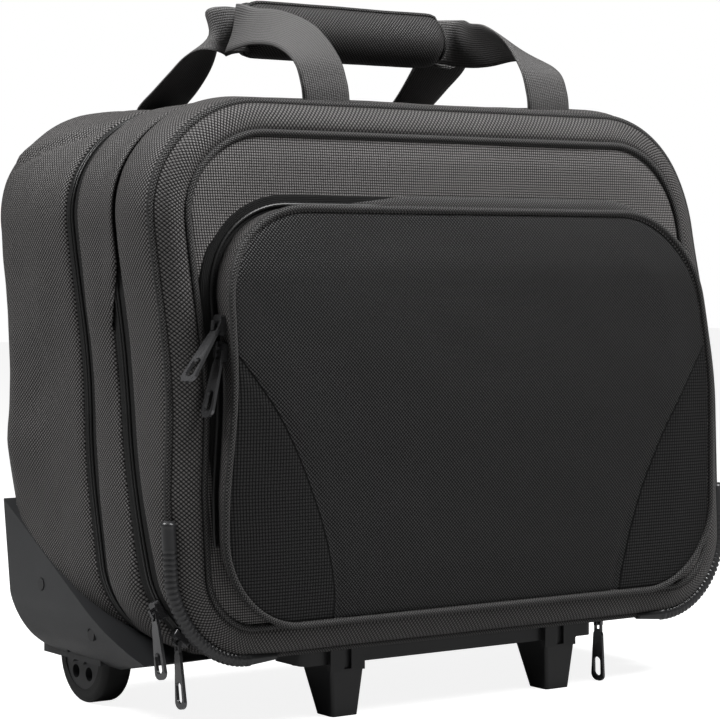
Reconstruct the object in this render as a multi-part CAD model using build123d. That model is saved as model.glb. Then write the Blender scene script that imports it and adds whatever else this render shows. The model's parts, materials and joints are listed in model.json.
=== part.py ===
from build123d import *

import math
import os

# A soft-sided pilot case on wheels.  X runs across the case, +Y to its back, +Z up.
# The feet stand at Z = 0.  "Depth" is the distance behind the front piping.

# ---- driving dimensions, mm ----
BODY_WIDTH = 455.4
BODY_TOP_WIDTH = 431.0
BODY_BOTTOM = 46.5
BODY_TOP = 389.5
BOTTOM_RADIUS = 52.0
TOP_RADIUS = 78.0
FRONT_Y = -88.0
BODY_DEPTH = 212.0
BACK_FILLET = 18.0
WALL = 5.0
SEAM_GAP = 0.2

FLOOR_FRONT_DEPTH = 8.0
FLOOR_TOP = BODY_BOTTOM + WALL + 0.3
FRONT_FOOT_TOP = 58.0
MAIN_ZIP = [(8.0, 46.5), (53.0, 190.0), (53.0, 420.0)]
REAR_ZIP = [(8.0, 46.5), (66.0, 56.0), (101.0, 175.0), (101.0, 420.0)]
MAIN_TAPE = 9.5
REAR_TAPE = 8.0
TAPE_INSET = 1.0
TAPE_THICK = 2.5
DIVIDER_THICK = 3.0

PANEL_INSET = 19.0
PANEL_DEPTH = 10.5
PIPING_RADIUS = 2.4
PROTECTOR_RADIUS = 4.0
PROTECTOR_RISE = 26.0
PROTECTOR_TAIL = 16.0

POCKET_TOP = 323.5
POCKET_BOTTOM = 66.0
POCKET_TOP_HALF = 186.0
POCKET_BOTTOM_HALF = 203.0
POCKET_TOP_RADIUS = 62.0
POCKET_BOTTOM_RADIUS = 56.0
POCKET_BACK = -PANEL_DEPTH - 2.8
POCKET_TOP_DEPTH = -34.0
POCKET_BOTTOM_DEPTH = -19.0
POCKET_WALL = 3.0
POCKET_SLOPE_TOP = 283.5
POCKET_WELT = 4.2
POCKET_WELT_PROUD = 2.0
POCKET_TAPE = (3.0, 13.0)

TUBE_X = 58.0
TUBE_DEPTH = 185.0
TUBE_BOTTOM = 58.0
TUBE_TOP = 358.0
TUBE_SIZES = [(24.0, 14.0), (21.0, 11.0), (18.0, 8.0)]
TUBE_WALL = 1.2
TUBE_ROUNDING = 2.5
BORE_ROUNDING = 1.3
LINING_THICK = 3.0
LINING_GAP = 10.0
LINING_TOP = 352.0
BRACKET_REACH = 18.0
BRACKET_FRONT = 9.0
BRACKET_BACK = 8.0
CUP_WALL = 2.5
CUP_HEIGHT = 14.0
COLLAR_HEIGHT = 3.0
COLLAR_LIFT = 1.5
COLLAR_LIP = 0.75
COLLAR_GAP = 0.05
BOLT_BOTTOM = 78.0
BOLT_TOP = 83.0
BOLT_HALF = 1.5
BOLT_INNER_X = 2.5
BOLT_GAP = 0.1
PUSH_ROD_BOTTOM = 88.0
PUSH_ROD_RADIUS = 1.5
SHAFT_RADIUS = 2.2
STAGE_RISE = 6.0

BEZEL_HALF = 80.0
BEZEL_FRONT = 153.0
BEZEL_BACK = 201.0
BEZEL_WALL = 4.0
BEZEL_FLOOR = TUBE_TOP + 4.0
FLANGE = 4.0
FLANGE_THICK = 2.0
FLANGE_TRIM = 4.0
BEZEL_ROUNDING = 9.0
BEZEL_HOLE_GAP = 0.3

GRIP_HALF = 70.0
GRIP_DEEP = 22.0
GRIP_BOTTOM = 371.0
GRIP_TOP = 390.0
GRIP_ROUNDING = 8.0
GRIP_EDGE = 3.0
BUTTON_HALF = 15.0
BUTTON_DEEP = 11.0
BUTTON_TOP = 391.5
BUTTON_GAP = 0.3
BUTTON_EDGE = 1.2
CROSSBAR_HALF = 61.0
CROSSBAR_BOTTOM = 379.0
CROSSBAR_TOP = 382.0
CROSSBAR_DEEP = 4.0
TUNNEL_GAP = 0.5
TUNNEL_BOTTOM = 375.0
SPRING_TOP = 386.0
SPRING_RADIUS = 3.0
SPRING_WIRE = 0.7

WHEEL_X = 193.0
WHEEL_DEPTH = 146.5
WHEEL_RADIUS = 32.0
WHEEL_WIDTH = 21.0
HUB_RADIUS = 23.0
HUB_INSET = 0.5
HUB_HOLES = 5
HUB_HOLE_CIRCLE = 15.0
HUB_HOLE_RADIUS = 4.6
TYRE_ROUNDING = 4.0
AXLE_RADIUS = 4.0
BEARING_RADIUS = 7.0
BEARING_PROUD = 1.0
AXLE_GAP = 0.05
WELL_RADIUS = 36.0
WELL_INNER_X = 178.0
WELL_OUTER_X = 208.0
WELL_WALL = 3.0
GUARD_PROUD = 2.5
GUARD_BOTTOM = 27.0
GUARD_INNER_X = 160.0
GUARD_ROUNDING = 18.0
GUARD_OUTLINE = [(206.0, 132.0), (197.0, 70.0), (183.0, 39.0), (152.0, 27.0), (104.0, 27.0), (38.0, 40.5)]
GUARD_SECTION_RADIUS = 46.0
GUARD_SECTION_BOTTOM = 25.0
GUARD_SECTION_HEIGHT = 150.0
GUARD_SCREWS = [(152.0, 80.0), (90.0, 54.0)]
SCREW_RADIUS = 1.6
SCREW_HEAD_RADIUS = 4.0
SCREW_SINK = 1.5
SCREW_SEAT_GAP = 0.3
SCREW_SHANK = 4.0
SCREW_HEAD_HEIGHT = 2.0

RAIL_HALF = 120.0
RAIL_FRONT = 9.0
RAIL_BACK = 45.0
RAIL_BOTTOM = 34.0
RAIL_ROUNDING = 6.0
RAIL_POCKETS = (-45.0, 0.0, 45.0)
RAIL_POCKET_HALF = 18.0
RAIL_POCKET_INSET = 8.0
RAIL_POCKET_TOP = 40.0
RAIL_SCREWS = (-112.0, -64.0, 64.0, 112.0)
RAIL_SCREW_RADIUS = 3.6
RAIL_SCREW_HEIGHT = 1.6
FOOT_X = 88.0
FOOT_FRONT = 5.0
FOOT_TOP_SIZE = (26.5, 35.5)
FOOT_BOTTOM_SIZE = (20.0, 19.0)
FOOT_TOP = 33.6
FOOT_SLOT = (5.5, 12.5)
FOOT_SLOT_Z = 37.0
FOOT_SLOT_DEEP = 2.5
FOOT_ROUNDING = 2.5
FOOT_STEP = 3.0
FOOT_PLATE_TOP = 44.0

STRAP_WIDTH = 35.0
STRAP_THICK = 3.0
STRAP_X = {"front": 92.0, "rear": 98.0}
FRONT_STRAP_DEPTH = 9.0
REAR_STRAP_DEPTH = 205.0
STRAP_BASE_Z = BODY_TOP + 2.0
CARRY_HALF = 76.0
CARRY_DEPTH = 112.0
CARRY_Z = 446.0
CARRY_RADIUS = 17.0
CARRY_SPLIT = 0.5
CARRY_OFFSET = 6.0
CARRY_RUN_THICK = 5.0
CARRY_RUN_TALL = 16.0
GRIP_PAD_HALF = 67.0

PULL_LENGTH = 36.0
PULL_WIDTH = 9.0
PULL_THICK = 1.8
SLIDER_SIZE = (9.0, 13.0, 4.0)
SLIDER_GAP = 0.5
PIVOT_RADIUS = 1.2
PIVOT_HEIGHT = 1.6
PIN_LENGTH = 7.0
PULL_DROP = 4.6
PULL_SLOT = (13.0, 5.0)
PULL_SLOT_END = 5.5
PULL_ARM_X = 2.75
PULL_ARM_SIZE = (1.5, 7.6)
BRIDGE_SIZE = (3.0, 6.0, 3.4)
POCKET_SLIDER_DEPTH = -21.0

BODY_HALF = BODY_WIDTH / 2
BODY_HEIGHT = BODY_TOP - BODY_BOTTOM
SIDE_SLOPE = (BODY_WIDTH - BODY_TOP_WIDTH) / 2 / BODY_HEIGHT
SIDE_LEAN = math.atan(SIDE_SLOPE)
CORNER_X = BODY_HALF - BOTTOM_RADIUS * math.tan((math.pi / 2 + SIDE_LEAN) / 2)
CORNER_Z = BODY_BOTTOM + BOTTOM_RADIUS
FAR = 400.0
OVER = 5


# ---- helpers ----
def y_at(depth):
    """Turn a depth behind the front piping into a Y coordinate."""
    return FRONT_Y + depth


def along(profile, depth_0, depth_1):
    """Extrude an (x, z) profile from one depth to another."""
    plane = Plane(origin=(0, y_at(depth_1), 0), x_dir=(1, 0, 0), z_dir=(0, -1, 0))
    return extrude(plane * profile, amount=depth_1 - depth_0, dir=(0, -1, 0))


def across(points, x_0, x_1):
    """Extrude an outline of (depth, z) points from one X to another."""
    plane = Plane(origin=(x_0, 0, 0), x_dir=(0, 1, 0), z_dir=(1, 0, 0))
    outline = Polygon(*[(y_at(depth), z) for depth, z in points], align=None)
    return extrude(plane * outline, amount=x_1 - x_0, dir=(1, 0, 0))


def block(x_0, x_1, depth_0, depth_1, z_0, z_1):
    """A box between two X values, two depths and two heights."""
    size = Box(x_1 - x_0, depth_1 - depth_0, z_1 - z_0)
    return Pos((x_0 + x_1) / 2, y_at((depth_0 + depth_1) / 2), (z_0 + z_1) / 2) * size


def rod(x_0, x_1, depth, z, radius):
    """A cylinder along X."""
    centre = Pos((x_0 + x_1) / 2, y_at(depth), z)
    return centre * Rot(0, 90, 0) * Cylinder(radius, x_1 - x_0)


def tapered_outline(bottom, top, low_radius, high_radius):
    """An outline with rounded corners; bottom and top are each (half width, height)."""
    corners = [(-bottom[0], bottom[1]), bottom, top, (-top[0], top[1])]
    shape = Polygon(*corners, align=None)
    shape = fillet(shape.vertices().sort_by(Axis.Y)[:2], low_radius)
    return fillet([v for v in shape.vertices() if v.Y > top[1] - 0.01], high_radius)


def body_outline(inset=0.0):
    """The case's rounded outline, seen from the front, drawn inwards by inset."""
    sideways = inset * math.hypot(1, SIDE_SLOPE)
    low_half = BODY_HALF - inset * SIDE_SLOPE - sideways
    high_half = BODY_TOP_WIDTH / 2 + inset * SIDE_SLOPE - sideways
    low = (low_half, BODY_BOTTOM + inset)
    high = (high_half, BODY_TOP - inset)
    return tapered_outline(low, high, BOTTOM_RADIUS - inset, TOP_RADIUS - inset)


def ring(inset, thick):
    """A hoop of wall that follows the case's outline through its whole depth."""
    return along(body_outline(inset) - body_outline(inset + thick), 0, BODY_DEPTH)


def parallel(line, shift):
    """A (depth, z) line moved sideways, towards the back for a positive shift."""
    moved = []
    for index, (depth, z) in enumerate(line):
        before = line[max(index - 1, 0)]
        after = line[min(index + 1, len(line) - 1)]
        normals = []
        for start, end in ((before, (depth, z)), ((depth, z), after)):
            length = math.hypot(end[0] - start[0], end[1] - start[1])
            if length:
                normals.append(((end[1] - start[1]) / length, (start[0] - end[0]) / length))
        sum_d = sum(n[0] for n in normals)
        sum_z = sum(n[1] for n in normals)
        scale = shift * len(normals) / (sum_d**2 + sum_z**2)
        moved.append((depth + sum_d * scale, z + sum_z * scale))
    return moved


def behind(line, shift):
    """Everything behind a zip line."""
    points = parallel(line, shift)
    close = [(FAR, points[-1][1]), (FAR, -FAR), (points[0][0], -FAR)]
    return across(points + close, -FAR, FAR)


def ahead(line, shift):
    """Everything ahead of a zip line."""
    points = parallel(line, shift)
    close = [(-FAR, points[-1][1]), (-FAR, -FAR), (points[0][0], -FAR)]
    return across(points + close, -FAR, FAR)


def above_floor():
    """Everything above the case's bottom wall."""
    return block(-FAR, FAR, -FAR, FAR, FLOOR_TOP, 2 * FAR)


def save(name, shape):
    """Write one node."""
    export_step(shape, f"parts/{name}.step")


# ---- rear section ----
def wheel_well(side, radius, inner_x, outer_x):
    """The drum-shaped space around a wheel."""
    x_0, x_1 = sorted((side * inner_x, side * outer_x))
    return rod(x_0, x_1, WHEEL_DEPTH, WHEEL_RADIUS, radius)


def well_cut(side):
    """What a wheel well takes out of the shell."""
    inner_x = WELL_INNER_X - WELL_WALL
    return wheel_well(side, WELL_RADIUS + WELL_WALL, inner_x, BODY_HALF + 10)


def rounded_block(inset, back_depth, fillet_radius):
    """The case's outline pushed back to a depth, with its rear edges rounded."""
    solid = along(body_outline(inset), FLOOR_FRONT_DEPTH + 0.3, back_depth)
    back_edges = solid.faces().sort_by(Axis.Y)[-1].edges()
    return fillet(back_edges, fillet_radius)


def rear_shell():
    """The padded tub that holds the trolley, open to the front."""
    outer = rounded_block(0, BODY_DEPTH, BACK_FILLET)
    inner = rounded_block(WALL, BODY_DEPTH - WALL, BACK_FILLET - WALL)
    tub = outer - inner
    low_wall = block(-FAR, FAR, -FAR, FAR, -FAR, FLOOR_TOP - 0.3)
    tub = tub & (behind(REAR_ZIP, REAR_TAPE) + low_wall)
    for side in (-1, 1):
        tub -= well_cut(side)
    bezel_hole = block(-BEZEL_HALF, BEZEL_HALF, BEZEL_FRONT, BEZEL_BACK, TUBE_TOP, BODY_TOP + 9)
    return tub - bezel_hole


def rear_lining_panel():
    """The stiff lining that covers the trolley tubes inside the case."""
    back = TUBE_DEPTH - LINING_GAP
    panel = along(body_outline(WALL), back - LINING_THICK, back)
    panel = panel & block(-FAR, FAR, -FAR, FAR, FLOOR_TOP, LINING_TOP)
    for side in (-1, 1):
        panel -= well_cut(side)
    return panel


def rear_zip_outer_tape():
    """The half of the rear zip that is sewn to the tub."""
    tape = ring(TAPE_INSET, TAPE_THICK) & behind(REAR_ZIP, SEAM_GAP)
    return tape & ahead(REAR_ZIP, REAR_TAPE) & above_floor()


# ---- trolley ----
def tube(stage, side, z_0, z_1):
    """One rectangular tube of the trolley."""
    wide, deep = TUBE_SIZES[stage]
    centre = Pos(side * TUBE_X, y_at(TUBE_DEPTH), z_0)
    solid = extrude(RectangleRounded(wide, deep, TUBE_ROUNDING), amount=z_1 - z_0)
    bore = RectangleRounded(wide - 2 * TUBE_WALL, deep - 2 * TUBE_WALL, BORE_ROUNDING)
    return centre * (solid - extrude(bore, amount=z_1 - z_0))


def tube_base_bracket():
    """The moulded foot that ties the two outer tubes together at the bottom."""
    wide, deep = TUBE_SIZES[0]
    reach = TUBE_X + BRACKET_REACH
    front = TUBE_DEPTH - BRACKET_FRONT
    back = TUBE_DEPTH + BRACKET_BACK
    bar = block(-reach, reach, front, back, BODY_BOTTOM + WALL, TUBE_BOTTOM)
    for side in (-1, 1):
        collar = Pos(side * TUBE_X, y_at(TUBE_DEPTH), TUBE_BOTTOM)
        outside = RectangleRounded(wide + 2 * CUP_WALL, deep + 2 * CUP_WALL, TUBE_ROUNDING + 1.5)
        cup = extrude(outside, amount=CUP_HEIGHT)
        cup -= extrude(RectangleRounded(wide, deep, TUBE_ROUNDING), amount=CUP_HEIGHT)
        bar += collar * cup
    return bar


def handle_bezel():
    """The recessed tray that the pull handle sinks into."""
    middle = (BEZEL_FRONT + BEZEL_BACK) / 2
    wide = 2 * BEZEL_HALF
    deep = BEZEL_BACK - BEZEL_FRONT
    tray = extrude(RectangleRounded(wide, deep, BEZEL_ROUNDING), amount=BODY_TOP - TUBE_TOP)
    tray = Pos(0, y_at(middle), TUBE_TOP) * tray
    rim_size = (wide + 2 * FLANGE, deep + 2 * FLANGE - FLANGE_TRIM)
    rim = extrude(RectangleRounded(*rim_size, BEZEL_ROUNDING + 2), amount=FLANGE_THICK)
    tray += Pos(0, y_at(middle), BODY_TOP) * rim
    hollow_size = (wide - 2 * BEZEL_WALL, deep - 2 * BEZEL_WALL)
    hollow = extrude(RectangleRounded(*hollow_size, BEZEL_ROUNDING - 3), amount=FAR)
    tray -= Pos(0, y_at(middle), BEZEL_FLOOR) * hollow
    tube_wide, tube_deep = TUBE_SIZES[1]
    hole_size = (tube_wide + 2 * BEZEL_HOLE_GAP, tube_deep + 2 * BEZEL_HOLE_GAP)
    hole = extrude(RectangleRounded(*hole_size, TUBE_ROUNDING + BEZEL_HOLE_GAP), amount=FAR)
    for side in (-1, 1):
        tray -= Pos(side * TUBE_X, y_at(TUBE_DEPTH), TUBE_TOP - OVER) * hole
    return tray


def middle_tube_collar(side):
    """The plastic bush that caps a middle tube and guides the inner one."""
    wide, deep = TUBE_SIZES[1]
    slot_wide, slot_deep = TUBE_SIZES[2]
    outside = RectangleRounded(wide + 2 * COLLAR_LIP, deep + 2 * COLLAR_LIP, TUBE_ROUNDING)
    slot = RectangleRounded(slot_wide + 2 * COLLAR_GAP, slot_deep + 2 * COLLAR_GAP, TUBE_ROUNDING)
    cap = extrude(outside - slot, amount=COLLAR_HEIGHT)
    return Pos(side * TUBE_X, y_at(TUBE_DEPTH), BEZEL_FLOOR + COLLAR_LIFT) * cap


def inner_tube(side):
    """The innermost tube, with the window that its lock bolt works in."""
    solid = tube(2, side, TUBE_BOTTOM + 2 * STAGE_RISE, GRIP_BOTTOM)
    outer_x = TUBE_SIZES[2][0] / 2
    x_0, x_1 = sorted((side * (TUBE_X + outer_x - 3), side * (TUBE_X + outer_x + 1)))
    half = BOLT_HALF + BOLT_GAP
    bottom = BOLT_BOTTOM - BOLT_GAP
    top = BOLT_TOP + BOLT_GAP
    return solid - block(x_0, x_1, TUBE_DEPTH - half, TUBE_DEPTH + half, bottom, top)


def lock_bolt(side):
    """The bolt at the foot of an inner tube, its tip level with the tube's outside."""
    outer_x = TUBE_SIZES[2][0] / 2
    x_0, x_1 = sorted((side * (TUBE_X + BOLT_INNER_X), side * (TUBE_X + outer_x)))
    return block(x_0, x_1, TUBE_DEPTH - BOLT_HALF, TUBE_DEPTH + BOLT_HALF, BOLT_BOTTOM, BOLT_TOP)


def trolley_grip():
    """The handle bar, hollow for the button's crossbar."""
    section = RectangleRounded(2 * GRIP_HALF, GRIP_DEEP, GRIP_ROUNDING)
    bar = extrude(section, amount=GRIP_TOP - GRIP_BOTTOM)
    bar = Pos(0, y_at(TUBE_DEPTH), GRIP_BOTTOM) * bar
    bar = fillet(bar.faces().sort_by(Axis.Z)[-1].edges(), GRIP_EDGE)
    half = BUTTON_DEEP / 2 + BUTTON_GAP
    front, back = TUBE_DEPTH - half, TUBE_DEPTH + half
    reach = BUTTON_HALF + BUTTON_GAP
    bar -= block(-reach, reach, front, back, TUNNEL_BOTTOM, FAR)
    reach = CROSSBAR_HALF + TUNNEL_GAP
    half = CROSSBAR_DEEP / 2 + TUNNEL_GAP
    bar -= block(-reach, reach, TUBE_DEPTH - half, TUBE_DEPTH + half, TUNNEL_BOTTOM, CROSSBAR_TOP + 0.6)
    for side in (-1, 1):
        bar -= Pos(side * TUBE_X, y_at(TUBE_DEPTH), GRIP_BOTTOM + 2) * Cylinder(SHAFT_RADIUS, 10)
    return bar


def release_button():
    """The push button and the crossbar that carries its two push rods."""
    half = BUTTON_DEEP / 2
    cap = block(-BUTTON_HALF, BUTTON_HALF, TUBE_DEPTH - half, TUBE_DEPTH + half, CROSSBAR_BOTTOM, BUTTON_TOP)
    cap = fillet(cap.faces().sort_by(Axis.Z)[-1].edges(), BUTTON_EDGE)
    front = TUBE_DEPTH - CROSSBAR_DEEP / 2
    back = TUBE_DEPTH + CROSSBAR_DEEP / 2
    bar = block(-CROSSBAR_HALF, CROSSBAR_HALF, front, back, CROSSBAR_BOTTOM, CROSSBAR_TOP)
    well_z = (CROSSBAR_BOTTOM - 1 + SPRING_TOP) / 2
    well = Cylinder(SPRING_RADIUS + BUTTON_GAP, SPRING_TOP - CROSSBAR_BOTTOM + 1)
    return cap + bar - Pos(0, y_at(TUBE_DEPTH), well_z) * well


def push_rods():
    """The two rods that carry the button's push down to the lock bolts."""
    middle = (PUSH_ROD_BOTTOM + CROSSBAR_BOTTOM) / 2
    push_rod = Cylinder(PUSH_ROD_RADIUS, CROSSBAR_BOTTOM - PUSH_ROD_BOTTOM)
    return Compound([Pos(side * TUBE_X, y_at(TUBE_DEPTH), middle) * push_rod for side in (-1, 1)])


def button_spring():
    """The sleeve that stands for the button's return spring."""
    height = SPRING_TOP - TUNNEL_BOTTOM
    coil = Cylinder(SPRING_RADIUS, height) - Cylinder(SPRING_RADIUS - SPRING_WIRE, height)
    return Pos(0, y_at(TUBE_DEPTH), TUNNEL_BOTTOM + height / 2) * coil


# ---- wheels and guards ----
def wheel_guard(side):
    """The moulded corner guard, with the drum that houses its wheel."""
    outline = Polyline(*[(y_at(depth), z) for depth, z in GUARD_OUTLINE], close=True)
    plane = Plane(origin=(0, 0, 0), x_dir=(0, 1, 0), z_dir=(1, 0, 0))
    face = plane * make_face(outline)
    corners = face.vertices().sort_by(Axis.Z)[:-1]
    low_tip = corners.sort_by(Axis.Y)[0]
    face = fillet([corner for corner in corners if corner != low_tip], GUARD_ROUNDING)
    wide = BODY_HALF + GUARD_PROUD
    slab = extrude(face, amount=wide, dir=(1, 0, 0))
    section = RectangleRounded(2 * wide, GUARD_SECTION_HEIGHT, GUARD_SECTION_RADIUS)
    section = Pos(0, GUARD_SECTION_BOTTOM + GUARD_SECTION_HEIGHT / 2) * section
    guard = slab & along(section, 20, BODY_DEPTH + OVER)
    guard &= block(GUARD_INNER_X, wide + 1, 0, FAR, 0, FAR)
    guard -= rounded_block(0, BODY_DEPTH, BACK_FILLET)
    inner_x = WELL_INNER_X - WELL_WALL
    outer_x = WELL_OUTER_X + WELL_WALL
    drum = wheel_well(1, WELL_RADIUS + WELL_WALL, inner_x, outer_x)
    drum &= block(0, FAR, 0, BODY_DEPTH, GUARD_BOTTOM + 3, FAR)
    guard += drum
    guard -= wheel_well(1, WELL_RADIUS, WELL_INNER_X, WELL_OUTER_X)
    floor_cut = block(
        WELL_INNER_X,
        WELL_OUTER_X,
        WHEEL_DEPTH - WELL_RADIUS,
        WHEEL_DEPTH + WELL_RADIUS,
        0,
        WHEEL_RADIUS,
    )
    guard -= floor_cut
    guard -= rod(inner_x - OVER, outer_x + OVER, WHEEL_DEPTH, WHEEL_RADIUS, AXLE_RADIUS)
    for depth, z in GUARD_SCREWS:
        guard -= rod(BODY_HALF - 30, wide + OVER, depth, z, SCREW_RADIUS)
        seat = SCREW_HEAD_RADIUS + SCREW_SEAT_GAP
        guard -= rod(guard_surface_x(z) - SCREW_SINK, wide + OVER, depth, z, seat)
    return guard if side > 0 else mirror(guard, about=Plane.YZ)


def guard_screws():
    """The screws that hold both guards to the shell."""
    screws = []
    for side in (-1, 1):
        for depth, z in GUARD_SCREWS:
            seat = guard_surface_x(z) - SCREW_SINK
            x_0, x_1 = sorted((side * (seat - SCREW_SHANK), side * seat))
            shank = rod(x_0, x_1, depth, z, SCREW_RADIUS)
            x_2, x_3 = sorted((side * seat, side * (seat + SCREW_HEAD_HEIGHT)))
            screws.append(shank + rod(x_2, x_3, depth, z, SCREW_HEAD_RADIUS))
    return Compound(screws)


def guard_surface_x(z):
    """How far out the guard's face stands at a height."""
    wide = BODY_HALF + GUARD_PROUD
    drop = max(0.0, GUARD_SECTION_BOTTOM + GUARD_SECTION_RADIUS - z)
    return wide - GUARD_SECTION_RADIUS + math.sqrt(GUARD_SECTION_RADIUS**2 - drop**2)


def wheel_axles():
    """The two steel pins that the wheels turn on."""
    pins = []
    for side in (-1, 1):
        x_0, x_1 = sorted((side * (WELL_INNER_X - WELL_WALL), side * (WELL_OUTER_X + WELL_WALL)))
        pins.append(rod(x_0, x_1, WHEEL_DEPTH, WHEEL_RADIUS, AXLE_RADIUS))
    return Compound(pins)


def wheel_pieces(side):
    """A wheel's bearing, hub and tyre."""
    half = WHEEL_WIDTH / 2
    x_0, x_1 = sorted((side * (WHEEL_X - half), side * (WHEEL_X + half)))
    outer_bore = rod(x_0 - OVER, x_1 + OVER, WHEEL_DEPTH, WHEEL_RADIUS, AXLE_RADIUS + AXLE_GAP)
    bearing = rod(x_0 - BEARING_PROUD, x_1 + BEARING_PROUD, WHEEL_DEPTH, WHEEL_RADIUS, BEARING_RADIUS)
    bearing -= outer_bore
    core = rod(x_0 - OVER, x_1 + OVER, WHEEL_DEPTH, WHEEL_RADIUS, BEARING_RADIUS)
    hub = rod(x_0 + HUB_INSET, x_1 - HUB_INSET, WHEEL_DEPTH, WHEEL_RADIUS, HUB_RADIUS) - core
    for index in range(HUB_HOLES):
        turn = 2 * math.pi * index / HUB_HOLES
        depth = WHEEL_DEPTH + HUB_HOLE_CIRCLE * math.sin(turn)
        z = WHEEL_RADIUS + HUB_HOLE_CIRCLE * math.cos(turn)
        hub -= rod(x_0 - OVER, x_1 + OVER, depth, z, HUB_HOLE_RADIUS)
    tyre = rod(x_0, x_1, WHEEL_DEPTH, WHEEL_RADIUS, WHEEL_RADIUS)
    tyre = fillet(tyre.edges(), TYRE_ROUNDING)
    tyre -= rod(x_0 - OVER, x_1 + OVER, WHEEL_DEPTH, WHEEL_RADIUS, HUB_RADIUS)
    return {"bearing": bearing, "hub": hub, "tyre": tyre}


# ---- rail and feet ----
def bottom_rail():
    """The moulded rail under the front of the case."""
    rail = block(-RAIL_HALF, RAIL_HALF, RAIL_FRONT, RAIL_BACK, RAIL_BOTTOM, BODY_BOTTOM)
    rail = fillet(rail.edges().filter_by(Axis.Z), RAIL_ROUNDING)
    front = RAIL_FRONT + RAIL_POCKET_INSET
    back = RAIL_BACK - RAIL_POCKET_INSET
    for x in RAIL_POCKETS:
        rail -= block(x - RAIL_POCKET_HALF, x + RAIL_POCKET_HALF, front, back, 0, RAIL_POCKET_TOP)
    return rail


def foot(side):
    """A tapered leg with a slotted bracket that clips over the rail."""
    wide, deep = FOOT_TOP_SIZE
    low_wide, low_deep = FOOT_BOTTOM_SIZE
    x = side * FOOT_X
    top_y = y_at(FOOT_FRONT + deep / 2)
    low_y = y_at(FOOT_FRONT + FOOT_STEP + low_deep / 2)
    top = Plane.XY.offset(FOOT_TOP) * Pos(x, top_y) * RectangleRounded(wide, deep, FOOT_ROUNDING)
    low = Pos(x, low_y) * RectangleRounded(low_wide, low_deep, FOOT_ROUNDING)
    leg = loft([low, top])
    back = RAIL_FRONT - 0.1
    plate = block(x - wide / 2, x + wide / 2, FOOT_FRONT, back, FOOT_TOP - 4, FOOT_PLATE_TOP)
    slot_wide, slot_tall = FOOT_SLOT
    z_0 = FOOT_SLOT_Z - slot_tall / 2
    x_0 = x - slot_wide / 2
    slot = block(x_0, x_0 + slot_wide, 0, FOOT_FRONT + FOOT_SLOT_DEEP, z_0, z_0 + slot_tall)
    return leg + plate - slot


def rail_screws():
    """The screws that hold the rail under the shell."""
    screws = []
    middle = (RAIL_FRONT + RAIL_BACK) / 2
    for x in RAIL_SCREWS:
        centre = Pos(x, y_at(middle), RAIL_BOTTOM - RAIL_SCREW_HEIGHT / 2)
        screws.append(centre * Cylinder(RAIL_SCREW_RADIUS, RAIL_SCREW_HEIGHT))
    return Compound(screws)


# ---- middle section ----
def middle_gusset():
    """The sides and top between the two zips."""
    gusset = ring(0, WALL) & behind(MAIN_ZIP, MAIN_TAPE)
    return gusset & ahead(REAR_ZIP, -REAR_TAPE) & above_floor()


def rear_zip_inner_tape():
    """The half of the rear zip that swings with the middle section."""
    tape = ring(TAPE_INSET, TAPE_THICK) & behind(REAR_ZIP, -REAR_TAPE)
    return tape & ahead(REAR_ZIP, -SEAM_GAP) & behind(MAIN_ZIP, MAIN_TAPE) & above_floor()


def main_zip_rear_tape():
    """The half of the main zip that is sewn to the middle section."""
    tape = ring(TAPE_INSET, TAPE_THICK) & behind(MAIN_ZIP, SEAM_GAP)
    return tape & ahead(MAIN_ZIP, MAIN_TAPE) & ahead(REAR_ZIP, -SEAM_GAP) & above_floor()


def divider_panel():
    """The bent partition between the clothes and the document compartments."""
    back = -REAR_TAPE - 1
    panel = along(body_outline(WALL), 0, BODY_DEPTH) & behind(REAR_ZIP, back - DIVIDER_THICK)
    return panel & ahead(REAR_ZIP, back) & behind(MAIN_ZIP, MAIN_TAPE) & above_floor()


# ---- front section ----
def front_gusset():
    """The hoop between the front piping and the main zip."""
    low = block(-FAR, FAR, -FAR, FLOOR_FRONT_DEPTH - 0.3, -FAR, FRONT_FOOT_TOP)
    return ring(0, WALL) & (ahead(MAIN_ZIP, -MAIN_TAPE) + low)


def main_zip_front_tape():
    """The half of the main zip that is sewn to the front section."""
    tape = ring(TAPE_INSET, TAPE_THICK) & behind(MAIN_ZIP, -MAIN_TAPE)
    return tape & ahead(MAIN_ZIP, -SEAM_GAP) & block(-FAR, FAR, -FAR, FAR, FRONT_FOOT_TOP, FAR)


def outline_at(inset, depth):
    """The case's outline as a face at a depth."""
    plane = Plane(origin=(0, y_at(depth), 0), x_dir=(1, 0, 0), z_dir=(0, -1, 0))
    return plane * body_outline(inset)


def front_panel():
    """The padded front, which slopes in from the outer piping to the inner one."""
    return loft([outline_at(0.5, 0), outline_at(PANEL_INSET, -PANEL_DEPTH)])


def hoop_piping(inset, depth):
    """A round welt that follows the case's outline."""
    path = outline_at(inset, depth).face().outer_wire()
    start = path @ 0.1
    section = Plane(origin=start, z_dir=path % 0.1) * Circle(PIPING_RADIUS)
    return sweep(section, path=path, transition=Transition.ROUND)


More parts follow.
